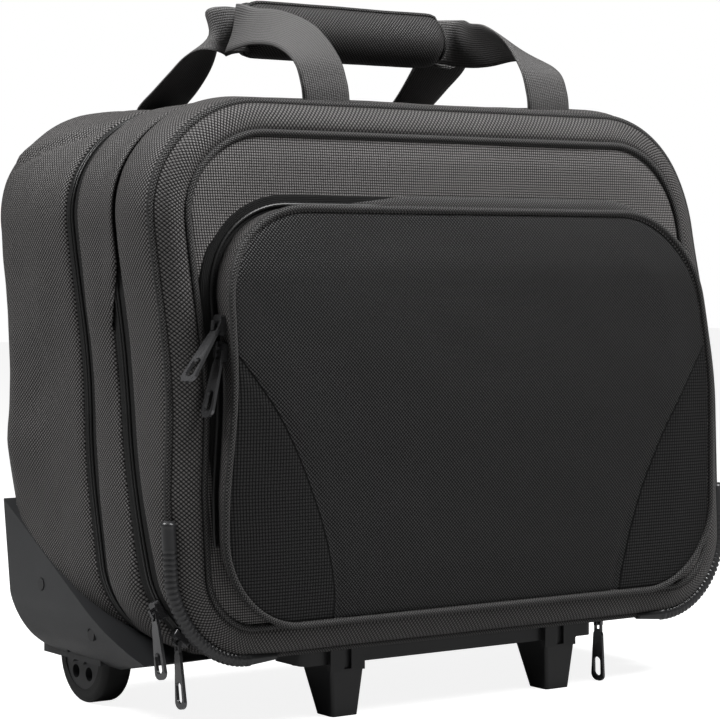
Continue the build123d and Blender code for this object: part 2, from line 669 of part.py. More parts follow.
def corner_protector(side):
    """The ribbed rubber sleeve over the front piping at a bottom corner."""
    y = FRONT_Y
    side_x = CORNER_X + BOTTOM_RADIUS * math.cos(SIDE_LEAN)
    side_z = CORNER_Z + BOTTOM_RADIUS * math.sin(SIDE_LEAN)
    rise_x = side_x - PROTECTOR_RISE * math.sin(SIDE_LEAN)
    rise_z = side_z + PROTECTOR_RISE * math.cos(SIDE_LEAN)
    middle = (SIDE_LEAN - math.pi / 2) / 2
    bend_x = CORNER_X + BOTTOM_RADIUS * math.cos(middle)
    bend_z = CORNER_Z + BOTTOM_RADIUS * math.sin(middle)
    start = (side * rise_x, y, rise_z)
    side_point = (side * side_x, y, side_z)
    low_point = (side * CORNER_X, y, BODY_BOTTOM)
    tail = (side * (CORNER_X - PROTECTOR_TAIL), y, BODY_BOTTOM)
    path = Line(start, side_point)
    path += ThreePointArc(side_point, (side * bend_x, y, bend_z), low_point)
    path += Line(low_point, tail)
    way = (side * math.sin(SIDE_LEAN), 0, -math.cos(SIDE_LEAN))
    section = Plane(origin=start, z_dir=way) * Circle(PROTECTOR_RADIUS)
    return sweep(section, path=path)


# ---- front pocket ----
def pocket_outline(inset=0.0):
    """The pocket's outline: narrower at the top, with four rounded corners."""
    low = (POCKET_BOTTOM_HALF - inset, POCKET_BOTTOM + inset)
    high = (POCKET_TOP_HALF - inset, POCKET_TOP - inset)
    return tapered_outline(low, high, POCKET_BOTTOM_RADIUS - inset, POCKET_TOP_RADIUS - inset)


def pocket_front(offset):
    """Everything behind the pocket's sloping face, moved back by offset."""
    points = [
        (POCKET_BOTTOM_DEPTH + offset, POCKET_BOTTOM - 40),
        (POCKET_BOTTOM_DEPTH + offset, POCKET_BOTTOM),
        (POCKET_TOP_DEPTH + offset, POCKET_SLOPE_TOP),
        (POCKET_TOP_DEPTH + offset, POCKET_TOP + 40),
        (POCKET_BACK + 60, POCKET_TOP + 40),
        (POCKET_BACK + 60, POCKET_BOTTOM - 40),
    ]
    return across(points, -FAR, FAR)


def pocket_shell():
    """The pocket's face and sides, open towards the front panel."""
    solid = along(pocket_outline(), POCKET_TOP_DEPTH - OVER, POCKET_BACK) & pocket_front(0)
    hollow = along(pocket_outline(POCKET_WALL), POCKET_TOP_DEPTH - OVER, POCKET_BACK + OVER)
    return solid - (hollow & pocket_front(POCKET_WALL))


def pocket_piping():
    """The welt around the pocket's face."""
    front = POCKET_TOP_DEPTH - 9
    rim = along(pocket_outline(), front, POCKET_BACK - 0.4) & pocket_front(-POCKET_WELT_PROUD)
    rim = rim - along(pocket_outline(POCKET_WELT), front, POCKET_BACK + OVER)
    return rim - pocket_front(0)


def pocket_zip_tape():
    """The zip tape around the foot of the pocket, on the front panel."""
    outer, inner = POCKET_TAPE
    hoop = pocket_outline(outer) - pocket_outline(inner)
    tape = along(hoop, POCKET_BACK + 0.7, -PANEL_DEPTH)
    return tape & block(-FAR, FAR, -FAR, FAR, POCKET_BOTTOM + 60, POCKET_TOP + OVER)


# ---- carry handles ----
def strap_leg(x, hinge_depth, side_of_grip):
    """A flat webbing leg, from its seam on the case to the end of the grip."""
    end_depth = CARRY_DEPTH + side_of_grip * CARRY_OFFSET
    base_plane = Plane(origin=(x, y_at(hinge_depth), STRAP_BASE_Z), x_dir=(1, 0, 0), z_dir=(0, 0, 1))
    base = base_plane * Rectangle(STRAP_WIDTH, STRAP_THICK)
    end_x = math.copysign(CARRY_HALF - 4, x)
    end_plane = Plane(origin=(end_x, y_at(end_depth), CARRY_Z), x_dir=(1, 0, 0), z_dir=(0, 0, 1))
    end = end_plane * Rectangle(8, CARRY_RUN_THICK)
    return loft([base, end])


def carry_strap(spread, hinge_depth, side_of_grip):
    """A webbing loop: two legs joined by the run inside the grip."""
    front = CARRY_DEPTH + side_of_grip * CARRY_OFFSET - CARRY_RUN_THICK / 2
    back = front + CARRY_RUN_THICK
    half = CARRY_RUN_TALL / 2
    run = block(-CARRY_HALF, CARRY_HALF, front, back, CARRY_Z - half, CARRY_Z + half)
    strap = run
    for x in (-spread, spread):
        strap += strap_leg(x, hinge_depth, side_of_grip)
    return strap


def grip_pad(side_of_grip, strap):
    """Half of the padded wrap, split where its bound edges meet."""
    pad = rod(-GRIP_PAD_HALF, GRIP_PAD_HALF, CARRY_DEPTH, CARRY_Z, CARRY_RADIUS)
    near = CARRY_DEPTH + side_of_grip * CARRY_SPLIT
    far = CARRY_DEPTH + side_of_grip * 50
    front, back = sorted((near, far))
    pad &= block(-FAR, FAR, front, back, CARRY_Z - 50, CARRY_Z + 50)
    return pad - strap


# ---- zip sliders ----
def slider():
    """A slider lying on z = 0 that runs along y, with a bridge for its pull."""
    wide, long, tall = SLIDER_SIZE
    plate = Pos(0, 0, tall / 2) * Box(wide, long, tall)
    plate = fillet(plate.edges().filter_by(Axis.Z), 3)
    pivot = Pos(0, 0, tall + PIVOT_HEIGHT)
    bridge = pivot * Box(*BRIDGE_SIZE)
    eye = pivot * Rot(0, 90, 0) * Cylinder(PIVOT_RADIUS + 0.1, 2 * wide)
    return plate + bridge - eye


def pull():
    """A pull that hangs along -y from a pin on the x axis."""
    plate = SlotOverall(PULL_LENGTH, PULL_WIDTH, rotation=90)
    plate = Pos(0, -PULL_LENGTH / 2 - PULL_DROP) * plate
    eye = Pos(0, -PULL_LENGTH + PULL_SLOT_END) * SlotOverall(*PULL_SLOT, rotation=90)
    tag = Pos(0, 0, -PULL_THICK / 2) * extrude(plate - eye, amount=PULL_THICK)
    pin = Rot(0, 90, 0) * Cylinder(PIVOT_RADIUS, PIN_LENGTH)
    arm_wide, arm_long = PULL_ARM_SIZE
    for x in (-PULL_ARM_X, PULL_ARM_X):
        tag += Pos(x, -arm_long / 2, 0) * Box(arm_wide, arm_long, PULL_THICK)
    return tag + pin


def slider_frame(point, outward, run):
    """A frame on a surface: z points outward and y along the zip."""
    normal = Vector(*outward).normalized()
    way = Vector(*run)
    way = (way - normal * way.dot(normal)).normalized()
    return Plane(origin=point, x_dir=way.cross(normal), z_dir=normal)


def corner_slider_frame(angle):
    """Where the main zip passes an angle below the side, on the lower left corner."""
    turn = math.radians(angle)
    radius = BOTTOM_RADIUS + SLIDER_GAP
    x = -CORNER_X - radius * math.cos(turn)
    z = CORNER_Z - radius * math.sin(turn)
    slope = (MAIN_ZIP[1][0] - MAIN_ZIP[0][0]) / (MAIN_ZIP[1][1] - MAIN_ZIP[0][1])
    depth = MAIN_ZIP[0][0] + (z - MAIN_ZIP[0][1]) * slope
    outward = (-math.cos(turn), 0, -math.sin(turn))
    run = (-math.sin(turn), slope * math.cos(turn), math.cos(turn))
    return slider_frame((x, y_at(depth), z), outward, run)


def pocket_slider_frame(z):
    """Where the pocket's zip passes a height, on its left side."""
    slope = (POCKET_BOTTOM_HALF - POCKET_TOP_HALF) / (POCKET_TOP - POCKET_BOTTOM)
    x = -POCKET_TOP_HALF - (POCKET_TOP - z) * slope - SLIDER_GAP
    return slider_frame((x, y_at(POCKET_SLIDER_DEPTH), z), (-1, 0, slope), (slope, 0, 1))


def hanging_pull(frame, lean):
    """A pull in the slider's eye, hanging down with a sideways lean in degrees."""
    tall = SLIDER_SIZE[2] + PIVOT_HEIGHT
    pivot = frame.origin + frame.z_dir * tall
    turn = math.radians(lean)
    axis = frame.x_dir
    down = Vector(0, 0, -1)
    down = (down - axis * down.dot(axis)).normalized()
    side = axis.cross(down)
    hang = down * math.cos(turn) + side * math.sin(turn)
    return Plane(origin=pivot, x_dir=axis, z_dir=axis.cross(hang * -1)) * pull()


SLIDER_FRAMES = {
    "main_zip_upper": (corner_slider_frame(23), 0),
    "main_zip_lower": (corner_slider_frame(45), 0),
    "rear_zip": (slider_frame((132, y_at(17), BODY_BOTTOM - SLIDER_GAP), (0, 0, -1), (1, 0, 0)), 0),
    "pocket_zip_upper": (pocket_slider_frame(252), -34),
    "pocket_zip_lower": (pocket_slider_frame(236), -14),
}


def main():
    """Build every node and write it."""
    os.makedirs("parts", exist_ok=True)
    save("rear_shell", rear_shell())
    save("rear_lining_panel", rear_lining_panel())
    save("rear_zip_outer_tape", rear_zip_outer_tape())
    save("handle_bezel", handle_bezel())
    save("tube_base_bracket", tube_base_bracket())
    for name, side in (("left", -1), ("right", 1)):
        save(f"outer_tube_{name}", tube(0, side, TUBE_BOTTOM, TUBE_TOP))
        save(f"middle_tube_{name}", tube(1, side, TUBE_BOTTOM + STAGE_RISE, BEZEL_FLOOR + COLLAR_LIFT))
        save(f"inner_tube_{name}", inner_tube(side))
        save(f"lock_bolt_{name}", lock_bolt(side))
        save(f"wheel_guard_{name}", wheel_guard(side))
        save(f"foot_{name}", foot(side))
        save(f"corner_protector_{name}", corner_protector(side))
        for piece, shape in wheel_pieces(side).items():
            save(f"wheel_{piece}_{name}", shape)
    save("middle_tube_collars", Compound([middle_tube_collar(side) for side in (-1, 1)]))
    save("trolley_grip", trolley_grip())
    save("release_button", release_button())
    save("push_rods", push_rods())
    save("button_spring", button_spring())
    save("guard_screws", guard_screws())
    save("wheel_axles", wheel_axles())
    save("bottom_rail", bottom_rail())
    save("rail_screws", rail_screws())
    save("middle_gusset", middle_gusset())
    save("rear_zip_inner_tape", rear_zip_inner_tape())
    save("main_zip_rear_tape", main_zip_rear_tape())
    save("divider_panel", divider_panel())
    save("front_gusset", front_gusset())
    save("main_zip_front_tape", main_zip_front_tape())
    save("front_panel", front_panel())
    save("front_piping", hoop_piping(0, 0))
    save("panel_piping", hoop_piping(PANEL_INSET, -PANEL_DEPTH))
    save("pocket_shell", pocket_shell())
    save("pocket_piping", pocket_piping())
    save("pocket_zip_tape", pocket_zip_tape())
    straps = {"front": (FRONT_STRAP_DEPTH, -1), "rear": (REAR_STRAP_DEPTH, 1)}
    for name, (hinge_depth, side_of_grip) in straps.items():
        strap = carry_strap(STRAP_X[name], hinge_depth, side_of_grip)
        save(f"{name}_strap", strap)
        save(f"{name}_grip_pad", grip_pad(side_of_grip, strap))
    for name, (frame, lean) in SLIDER_FRAMES.items():
        save(f"{name}_slider", frame * slider())
        save(f"{name}_pull", hanging_pull(frame, lean))


main()
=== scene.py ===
import json
import math

import bmesh
import bpy
from mathutils import Matrix, Vector, noise


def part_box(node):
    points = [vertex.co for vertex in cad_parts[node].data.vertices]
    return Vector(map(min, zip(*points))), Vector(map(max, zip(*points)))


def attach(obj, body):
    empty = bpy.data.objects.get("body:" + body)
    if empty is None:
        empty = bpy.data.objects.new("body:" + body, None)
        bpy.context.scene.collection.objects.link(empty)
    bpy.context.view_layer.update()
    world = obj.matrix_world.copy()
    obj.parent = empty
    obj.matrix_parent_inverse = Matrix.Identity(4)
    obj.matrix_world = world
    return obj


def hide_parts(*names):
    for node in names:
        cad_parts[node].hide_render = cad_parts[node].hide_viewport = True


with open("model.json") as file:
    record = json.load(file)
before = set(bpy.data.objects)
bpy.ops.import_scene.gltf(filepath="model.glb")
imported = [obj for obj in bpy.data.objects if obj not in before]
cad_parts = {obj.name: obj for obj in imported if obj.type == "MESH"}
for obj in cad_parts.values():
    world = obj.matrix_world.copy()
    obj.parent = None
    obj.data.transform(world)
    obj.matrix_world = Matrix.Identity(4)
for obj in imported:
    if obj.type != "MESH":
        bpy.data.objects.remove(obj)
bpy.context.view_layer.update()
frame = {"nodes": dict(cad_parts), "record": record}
MM = 0.001

# ---- places, from the frame ----
shell_low, shell_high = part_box("rear_shell")
piping_low, piping_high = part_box("front_piping")
pocket_low, pocket_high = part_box("pocket_shell")
LOW_HALF = 227.7 * MM
TOP_HALF = 215.5 * MM
LOW = shell_low[2]
TOP = shell_high[2]
FRONT = (piping_low[1] + piping_high[1]) / 2
DEPTH = shell_high[1] - FRONT
LOW_RADIUS = 52 * MM
TOP_RADIUS = 78 * MM
WALL = 5 * MM
MAIN_ZIP = [(LOW, 8 * MM), (190 * MM, 53 * MM), (TOP + 0.1, 53 * MM)]
REAR_ZIP = [(LOW, 8 * MM), (56 * MM, 66 * MM), (175 * MM, 101 * MM), (TOP + 0.1, 101 * MM)]
MAIN_TAPE = 9.5 * MM
REAR_TAPE = 8 * MM
BACK_ROUND = 22 * MM
STEP = 4 * MM
BORDER = 19 * MM
PANEL_OUT = 10.5 * MM
WELT_RADIUS = 2.3 * MM
LEAN_LEFT = 15 * MM
LEAN_BACK = 8 * MM
LEAN_START = 190 * MM
LEAN_RISE = 165 * MM
CORNER_PULL = 7 * MM


# ---- outlines ----
def clamped(value):
    """A value held between 0 and 1."""
    return max(0.0, min(1.0, value))


def eased(value):
    """A value held between 0 and 1, with a soft start and end."""
    share = clamped(value)
    return share * share * (3 - 2 * share)


def rounded_path(corners, radii, step):
    """Points round a closed outline with rounded corners: (x, z, normal x, normal z, distance)."""
    count = len(corners)
    pieces = []
    for index in range(count):
        before = Vector(corners[index - 1])
        corner = Vector(corners[index])
        after = Vector(corners[(index + 1) % count])
        way_in = (corner - before).normalized()
        way_out = (after - corner).normalized()
        turn = way_in.angle(way_out)
        reach = radii[index] * math.tan(turn / 2)
        start = corner - way_in * reach
        end = corner + way_out * reach
        pieces.append((start, end, way_in, way_out, turn, radii[index]))
    points = []
    for index in range(count):
        start, end, way_in, way_out, turn, radius = pieces[index]
        normal = Vector((way_in.y, -way_in.x)) * -1
        centre = start - normal * radius
        parts = max(2, round(radius * turn / step))
        for part in range(parts):
            angle = turn * part / parts
            spun = normal * math.cos(angle) + way_in * math.sin(angle)
            points.append((centre + spun * radius, spun))
        following = pieces[(index + 1) % count]
        straight = following[0] - end
        flat = Vector((way_out.y, -way_out.x)) * -1
        parts = max(1, round(straight.length / step))
        for part in range(parts):
            points.append((end + straight * (part / parts), flat))
    path = []
    distance = 0.0
    for index, (point, normal) in enumerate(points):
        if index:
            distance += (point - points[index - 1][0]).length
        path.append((point.x, point.y, normal.x, normal.y, distance))
    return path


def outline_path(shape, step):
    """The path of a shape: low half width, top half width, low, top, low radius, top radius."""
    low_half, top_half, low, top, low_radius, top_radius = shape
    corners = [(-low_half, low), (-top_half, top), (top_half, top), (low_half, low)]
    return rounded_path(corners, [low_radius, top_radius, top_radius, low_radius], step)


def edge_distance(shape, x, z):
    """How far inside a shape's outline a place is."""
    low_half, top_half, low, top, low_radius, top_radius = shape
    radius = top_radius if z > (low + top) / 2 else low_radius
    half = low_half + (top_half - low_half) * (z - low) / (top - low)
    beside = abs(x) - (half - radius)
    above = max(z - (top - radius), low + radius - z)
    outside = math.hypot(max(beside, 0.0), max(above, 0.0))
    return radius - outside - min(max(beside, above), 0.0)


def smooth_depth(line, z):
    """The depth of a zip at a height, with the line's bends eased."""
    soft = min(max((z - LOW) * 0.35, 1.5 * MM), 34 * MM)
    total = 0.0
    samples = 9
    for index in range(samples):
        height = z + soft * (2 * index / (samples - 1) - 1)
        total += straight_depth(line, height)
    return total / samples


def straight_depth(line, z):
    """The depth of a line of (height, depth) corners at a height."""
    if z <= line[0][0]:
        return line[0][1]
    for (z_0, depth_0), (z_1, depth_1) in zip(line, line[1:]):
        if z <= z_1:
            return depth_0 + (depth_1 - depth_0) * (z - z_0) / (z_1 - z_0)
    return line[-1][1]


BODY_SHAPE = (LOW_HALF, TOP_HALF, LOW, TOP, LOW_RADIUS, TOP_RADIUS)
BODY = outline_path(BODY_SHAPE, STEP)
MAIN_DEPTH = [smooth_depth(MAIN_ZIP, point[1]) for point in BODY]
REAR_DEPTH = [smooth_depth(REAR_ZIP, point[1]) for point in BODY]


def slant(depths):
    """How much a strip along a zip widens in depth where the zip runs slanted."""
    result = []
    count = len(depths)
    for index in range(count):
        ahead = BODY[(index + 1) % count]
        back = BODY[index - 1]
        run = math.hypot(ahead[0] - back[0], ahead[1] - back[1])
        rise = depths[(index + 1) % count] - depths[index - 1]
        result.append(math.hypot(1, rise / run))
    return result


MAIN_SLANT = slant(MAIN_DEPTH)
REAR_SLANT = slant(REAR_DEPTH)
MIDDLE = [(main + rear) / 2 for main, rear in zip(MAIN_DEPTH, REAR_DEPTH)]


def skin(point, depth, out):
    """A place on the case: a point of the outline, a depth and a distance outwards."""
    x, z, normal_x, normal_z, _ = point
    turn = max(0.0, min((depth - (DEPTH - BACK_ROUND)) / BACK_ROUND, math.pi / 2))
    drop = BACK_ROUND * (1 - math.cos(turn))
    y = min(depth, DEPTH - BACK_ROUND) + BACK_ROUND * math.sin(turn) + out * math.sin(turn)
    side = out * math.cos(turn) - drop
    return Vector((x + normal_x * side, FRONT + y, z + normal_z * side))


# ---- mesh helpers ----
def lean(point):
    """The slumped body: its upper half leans left and back, its low left front corner draws in."""
    share = eased((point.z - LEAN_START) / LEAN_RISE)
    low_share = clamped((150 * MM - point.z) / (80 * MM))
    near_share = clamped((FRONT + 40 * MM - point.y) / (40 * MM))
    side_share = clamped((-point.x - 80 * MM) / (120 * MM))
    pull = CORNER_PULL * low_share * near_share * side_share
    return Vector((point.x - LEAN_LEFT * share + pull, point.y + LEAN_BACK * share, point.z))


def mesh_object(name, points, faces, coordinates):
    """A smooth mesh, leaned with the body, with its cloth coordinates in metres in a UV layer."""
    mesh = bpy.data.meshes.new(name)
    mesh.from_pydata([lean(point) for point in points], [], faces)
    layer = mesh.uv_layers.new(name="cloth")
    index = 0
    for face, places in zip(mesh.polygons, coordinates):
        face.use_smooth = True
        for place in places:
            layer.data[index].uv = place
            index += 1
    mesh.update()
    piece = bpy.data.objects.new(name, mesh)
    bpy.context.scene.collection.objects.link(piece)
    return piece


def loft(name, rows, places, close_rows, close_across, cap=False):
    """A skin over rows of points; places holds each point's cloth coordinates."""
    points = [point for row in rows for point in row]
    wide = len(rows[0])
    faces = []
    coordinates = []
    last_row = len(rows) if close_rows else len(rows) - 1
    last_across = wide if close_across else wide - 1
    for i in range(last_row):
        following = (i + 1) % len(rows)
        for j in range(last_across):
            beside = (j + 1) % wide
            low, high = i * wide, following * wide
            faces.append((low + j, high + j, high + beside, low + beside))
            a = places[i][j]
            b = places[following][j]
            c = places[following][beside]
            d = places[i][beside]
            jump = places[-1][0][0] * 1.003 if following == 0 and abs(b[0] - a[0]) > 0.5 else 0.0
            coordinates.append((a, (b[0] + jump, b[1]), (c[0] + jump, c[1]), d))
    if cap:
        for i in (0, len(rows) - 1):
            ring = list(range(wide))
            if i:
                ring.reverse()
            faces.append(tuple(i * wide + j for j in ring))
            coordinates.append([places[i][j] for j in ring])
    return mesh_object(name, points, faces, coordinates)


def outward(piece):
    """Make a closed piece's faces look outwards."""
    shape = bmesh.new()
    shape.from_mesh(piece.data)
    bmesh.ops.recalc_face_normals(shape, faces=shape.faces)
    shape.to_mesh(piece.data)
    shape.free()
    return piece


def fold(s, depth, seed, size=1.0):
    """Soft uneven folds of the cloth, as a height."""
    broad = noise.noise(Vector((s * 8, depth * 13, seed)))
    slack = noise.noise(Vector((s * 22 + depth * 9, depth * 30, seed + 3)))
    small = noise.noise(Vector((s * 60, depth * 70, seed + 7)))
    return size * (1.7 * MM * broad + 0.8 * MM * slack + 0.25 * MM * small)


def side_rows(path):
    """The points down the right side of an outline, from its top to its bottom."""
    side = [index for index, point in enumerate(path) if point[0] > 0 and point[2] > 0.001]
    return path[side[0] - 1 : side[-1] + 2]


def cushion(name, shape, outer, inner, columns=56):
    """A closed cushion over a shape; outer and inner give the depth of its two faces at (x, z)."""
    rows = side_rows(outline_path(shape, STEP))
    wide = columns + 1
    points = []
    for surface in (outer, inner):
        for half, z, _, _, _ in rows:
            for column in range(wide):
                t = 2 * column / columns - 1
                x = half * (0.6 * t + 0.4 * math.sin(math.pi * t / 2))
                points.append(Vector((x, surface(x, z), z)))
    size = len(rows) * wide
    last = len(rows) - 1
    faces = []
    for layer in (0, size):
        for i in range(last):
            for j in range(columns):
                corner = layer + i * wide + j
                faces.append((corner, corner + 1, corner + wide + 1, corner + wide))
    rim = list(range(wide))
    rim += [i * wide + columns for i in range(1, last + 1)]
    rim += [last * wide + j for j in range(columns - 1, -1, -1)]
    rim += [i * wide for i in range(last - 1, 0, -1)]
    for a, b in zip(rim, rim[1:] + rim[:1]):
        faces.append((a, b, b + size, a + size))
    coordinates = [[(points[corner].x, points[corner].z) for corner in face] for face in faces]
    return outward(mesh_object(name, points, faces, coordinates))


def band(name, indices, edge_0, edge_1, out, under, across, close):
    """A strip of cloth round the case between two depths; out and under place its two faces."""
    rows = []
    places = []
    for index in indices:
        point = BODY[index]
        row = []
        place = []
        for side, steps in ((out, range(across + 1)), (under, range(across, -1, -1))):
            for j in steps:
                u = j / across
                depth = edge_0[index] + (edge_1[index] - edge_0[index]) * u
                row.append(skin(point, depth, side(index, depth, u)))
                place.append((point[4], depth))
        rows.append(row)
        places.append(place)
    return outward(loft(name, rows, places, close, True, cap=not close))


def tube(name, points, radius, sides=10, closed=False, swell=None):
    """A round cord along points; swell gives its thickness at each point."""
    count = len(points)
    rows = []
    places = []
    distance = 0.0
    up = Vector((0, 1, 0))
    for index, point in enumerate(points):
        ahead = points[(index + 1) % count] if closed or index < count - 1 else point
        back = points[index - 1] if closed or index else point
        way = (ahead - back).normalized()
        side = way.cross(up)
        if side.length < 0.05:
            side = way.cross(Vector((1, 0, 0)))
        side.normalize()
        up = side.cross(way).normalized()
        if index:
            distance += (point - points[index - 1]).length
        thick = radius * (swell(index) if swell else 1.0)
        row = []
        place = []
        for corner in range(sides):
            angle = 2 * math.pi * corner / sides
            row.append(point + side * (thick * math.cos(angle)) + up * (thick * math.sin(angle)))
            place.append((distance, radius * angle))
        rows.append(row)
        places.append(place)
    return outward(loft(name, rows, places, closed, True, cap=not closed))


# ---- materials ----
class Nodes:
    """A material's node tree with short calls to add nodes to it."""

    def __init__(self, name):
        self.material = bpy.data.materials.new(name)
        self.material.use_nodes = True
        self.tree = self.material.node_tree
        self.shader = self.tree.nodes["Principled BSDF"]

    def add(self, kind, **settings):
        node = self.tree.nodes.new(kind)
        for key, value in settings.items():
            setattr(node, key, value)
        return node

    def link(self, start, end):
        self.tree.links.new(start, end)

    def math(self, operation, first, second=None):
        node = self.add("ShaderNodeMath", operation=operation)
        for socket, value in zip(node.inputs, (first, second)):
            if value is None:
                continue
            if isinstance(value, (int, float)):
                socket.default_value = value
            else:
                self.link(value, socket)
        return node.outputs[0]

    def mix(self, factor, first, second):
        node = self.add("ShaderNodeMix", data_type="RGBA")
        self.link(factor, node.inputs["Factor"])
        for socket, value in ((node.inputs[6], first), (node.inputs[7], second)):
            if isinstance(value, tuple):
                socket.default_value = (*value, 1)
            else:
                self.link(value, socket)
        return node.outputs[2]

    def cloth_coordinates(self):
        split = self.add("ShaderNodeSeparateXYZ")
        self.link(self.add("ShaderNodeUVMap", uv_map="cloth").outputs[0], split.inputs[0])
        return split.outputs[0], split.outputs[1]

    def shade(self, name, value):
        """Set one input of the surface shader."""
        self.shader.inputs[name].default_value = value

    def noise(self, scale, detail=2.0):
        node = self.add("ShaderNodeTexNoise")
        node.inputs["Scale"].default_value = scale
        node.inputs["Detail"].default_value = detail
        self.link(self.add("ShaderNodeTexCoord").outputs["Object"], node.inputs["Vector"])
        return node.outputs["Fac"]

    def wave(self, value, pitch):
        """A row of rounded ridges along a coordinate."""
        return self.math("ABSOLUTE", self.math("SINE", self.math("MULTIPLY", value, math.pi / pitch)))

    def bump(self, height, distance):
        node = self.add("ShaderNodeBump")
        node.inputs["Distance"].default_value = distance
        node.inputs["Strength"].default_value = 1.0
        self.link(height, node.inputs["Height"])
        self.link(node.outputs[0], self.shader.inputs["Normal"])

    def ramp(self, value, low, high):
        node = self.add("ShaderNodeMapRange")
        self.link(value, node.inputs["Value"])
        node.inputs["To Min"].default_value = low
        node.inputs["To Max"].default_value = high
        return node.outputs[0]


CLOTH_BUMP = 0.35 * MM
CLOTH_ROUGH = 0.5


def twill_height(nodes, u, v, thread):
    """Threads that float two over and two under, each row a step further on, as a height from 0 to 1."""
    across = nodes.math("MULTIPLY", u, 1 / thread)
    along = nodes.math("MULTIPLY", v, 1 / thread)
    wobble = nodes.math("MULTIPLY", nodes.noise(160.0, 2.0), 0.9)
    both = nodes.math("ADD", nodes.math("ADD", across, along), wobble)
    rib = nodes.wave(both, 3)
    step = nodes.wave(nodes.math("SUBTRACT", across, along), 3)
    return nodes.math("MULTIPLY", nodes.math("POWER", rib, 0.8), nodes.math("POWER", step, 0.55))


def grid_height(nodes, u, v, pitch):
    """A small ribbed grid, as a height from 0 to 1."""
    ribs = nodes.math("POWER", nodes.wave(v, pitch), 0.6)
    picks = nodes.math("POWER", nodes.wave(u, pitch), 0.6)
    return nodes.math("MULTIPLY", ribs, picks)


def finish_cloth(nodes, height, dark, light, bump, rough):
    """The colour, gloss and relief shared by the woven materials: thread tops are painted lighter, a
    painted sheen, while the gaps between threads stay dark.
    """
    patch = nodes.ramp(nodes.noise(9.0, 3.0), 0.1, 0.55)
    # worn: the painted sheen colour of the thread tops, dimmed in random worn patches
    worn = nodes.mix(patch, light, tuple(0.6 * channel for channel in light))
    tops = nodes.math("POWER", height, 1.7)
    # Painted sheen: the higher a thread stands, the more of the lighter colour it gets.
    colour = nodes.mix(tops, dark, worn)
    nodes.link(colour, nodes.shader.inputs["Base Color"])
    roughness = nodes.ramp(nodes.noise(30.0), rough - 0.08, rough + 0.1)
    nodes.link(roughness, nodes.shader.inputs["Roughness"])
    nodes.link(nodes.ramp(tops, 0.05, 0.55), nodes.shader.inputs["Specular IOR Level"])
    nodes.bump(height, bump)
    nodes.shade("Sheen Weight", 0.03)
    return nodes.material


def grid_material(name, dark, light, pitch):
    """Cloth woven in a small square grid."""
    nodes = Nodes(name)
    u, v = nodes.cloth_coordinates()
    wobble = nodes.math("MULTIPLY", nodes.math("SUBTRACT", nodes.noise(120.0, 2.0), 0.5), 0.5 * MM)
    height = grid_height(nodes, nodes.math("ADD", u, wobble), nodes.math("ADD", v, wobble), pitch)
    return finish_cloth(nodes, height, dark, light, CLOTH_BUMP, CLOTH_ROUGH)


def cloth_material(name, dark, light, thread, bump=CLOTH_BUMP, rough=CLOTH_ROUGH):
    """Woven polyester: twill relief, thread tops lighter as a painted sheen, faint wear and uneven
    colour.
    """
    nodes = Nodes(name)
    u, v = nodes.cloth_coordinates()
    height = twill_height(nodes, u, v, thread)
    return finish_cloth(nodes, height, dark, light, bump, rough)


def pocket_material(name, dark, light, thread):
    """The pocket's face: twill in the middle, ribbed grid outside two curved seams."""
    nodes = Nodes(name)
    u, v = nodes.cloth_coordinates()
    twill = twill_height(nodes, u, v, thread)
    grid = grid_height(nodes, u, v, 2.1 * MM)
    rise = nodes.math("MAXIMUM", nodes.math("SUBTRACT", v, 80 * MM), 0.0)
    curve = nodes.math("ADD", nodes.math("MULTIPLY", rise, 0.12), 118.5 * MM)
    curve = nodes.math("ADD", curve, nodes.math("MULTIPLY", nodes.math("MULTIPLY", rise, rise), 2.2))
    beyond = nodes.math("SUBTRACT", nodes.math("ABSOLUTE", u), curve)
    outside = nodes.math("GREATER_THAN", beyond, 0.0)
    away = nodes.math("MULTIPLY", nodes.math("ABSOLUTE", beyond), 1 / (1.1 * MM))
    near = nodes.math("MINIMUM", away, 1.0)
    inner = nodes.math("MULTIPLY", twill, nodes.math("SUBTRACT", 1.0, outside))
    outer = nodes.math("MULTIPLY", nodes.math("MULTIPLY", grid, 0.75), outside)
    height = nodes.math("ADD", inner, outer)
    # Height falls to nothing at the seams, so the painted sheen on the thread tops fades there and the
    # seams stay dark.
    height = nodes.math("MULTIPLY", height, near)
    return finish_cloth(nodes, height, dark, light, CLOTH_BUMP, 0.52)


def rib_material(name, dark, light, pitch, rough=0.55, shine=0.5):
    """Ribbed webbing: ribs along its length, crossed by fine picks."""
    nodes = Nodes(name)
    u, v = nodes.cloth_coordinates()
    ribs = nodes.math("POWER", nodes.wave(v, pitch), 0.8)
    picks = nodes.math("POWER", nodes.wave(u, pitch * 0.6), 0.5)
    height = nodes.math("MULTIPLY", ribs, picks)
    # Rib tops painted lighter than the grooves: a painted sheen on black webbing.
    colour = nodes.mix(height, dark, light)
    nodes.link(colour, nodes.shader.inputs["Base Color"])
    roughness = nodes.ramp(nodes.noise(40.0), rough - 0.08, rough + 0.1)
    nodes.link(roughness, nodes.shader.inputs["Roughness"])
    nodes.bump(height, CLOTH_BUMP)
    nodes.shade("Sheen Weight", 0.03)
    nodes.shade("Specular IOR Level", shine)
    return nodes.material


def plastic_material(name, colour, rough, grain_scale, grain, metallic=0.0):
    """Moulded plastic or metal with a fine grain and faint scuffs."""
    nodes = Nodes(name)
    scuffs = nodes.noise(24.0, 6.0)
    worn = tuple(min(1.0, 1.35 * c + 0.002) for c in colour)
    nodes.link(nodes.mix(nodes.ramp(scuffs, 0.0, 0.6), colour, worn), nodes.shader.inputs["Base Color"])
    nodes.link(nodes.ramp(scuffs, rough - 0.07, rough + 0.1), nodes.shader.inputs["Roughness"])
    nodes.bump(nodes.noise(grain_scale, 2.0), grain)
    nodes.shade("Metallic", metallic)
    nodes.shade("Specular IOR Level", 0.4)
    return nodes.material


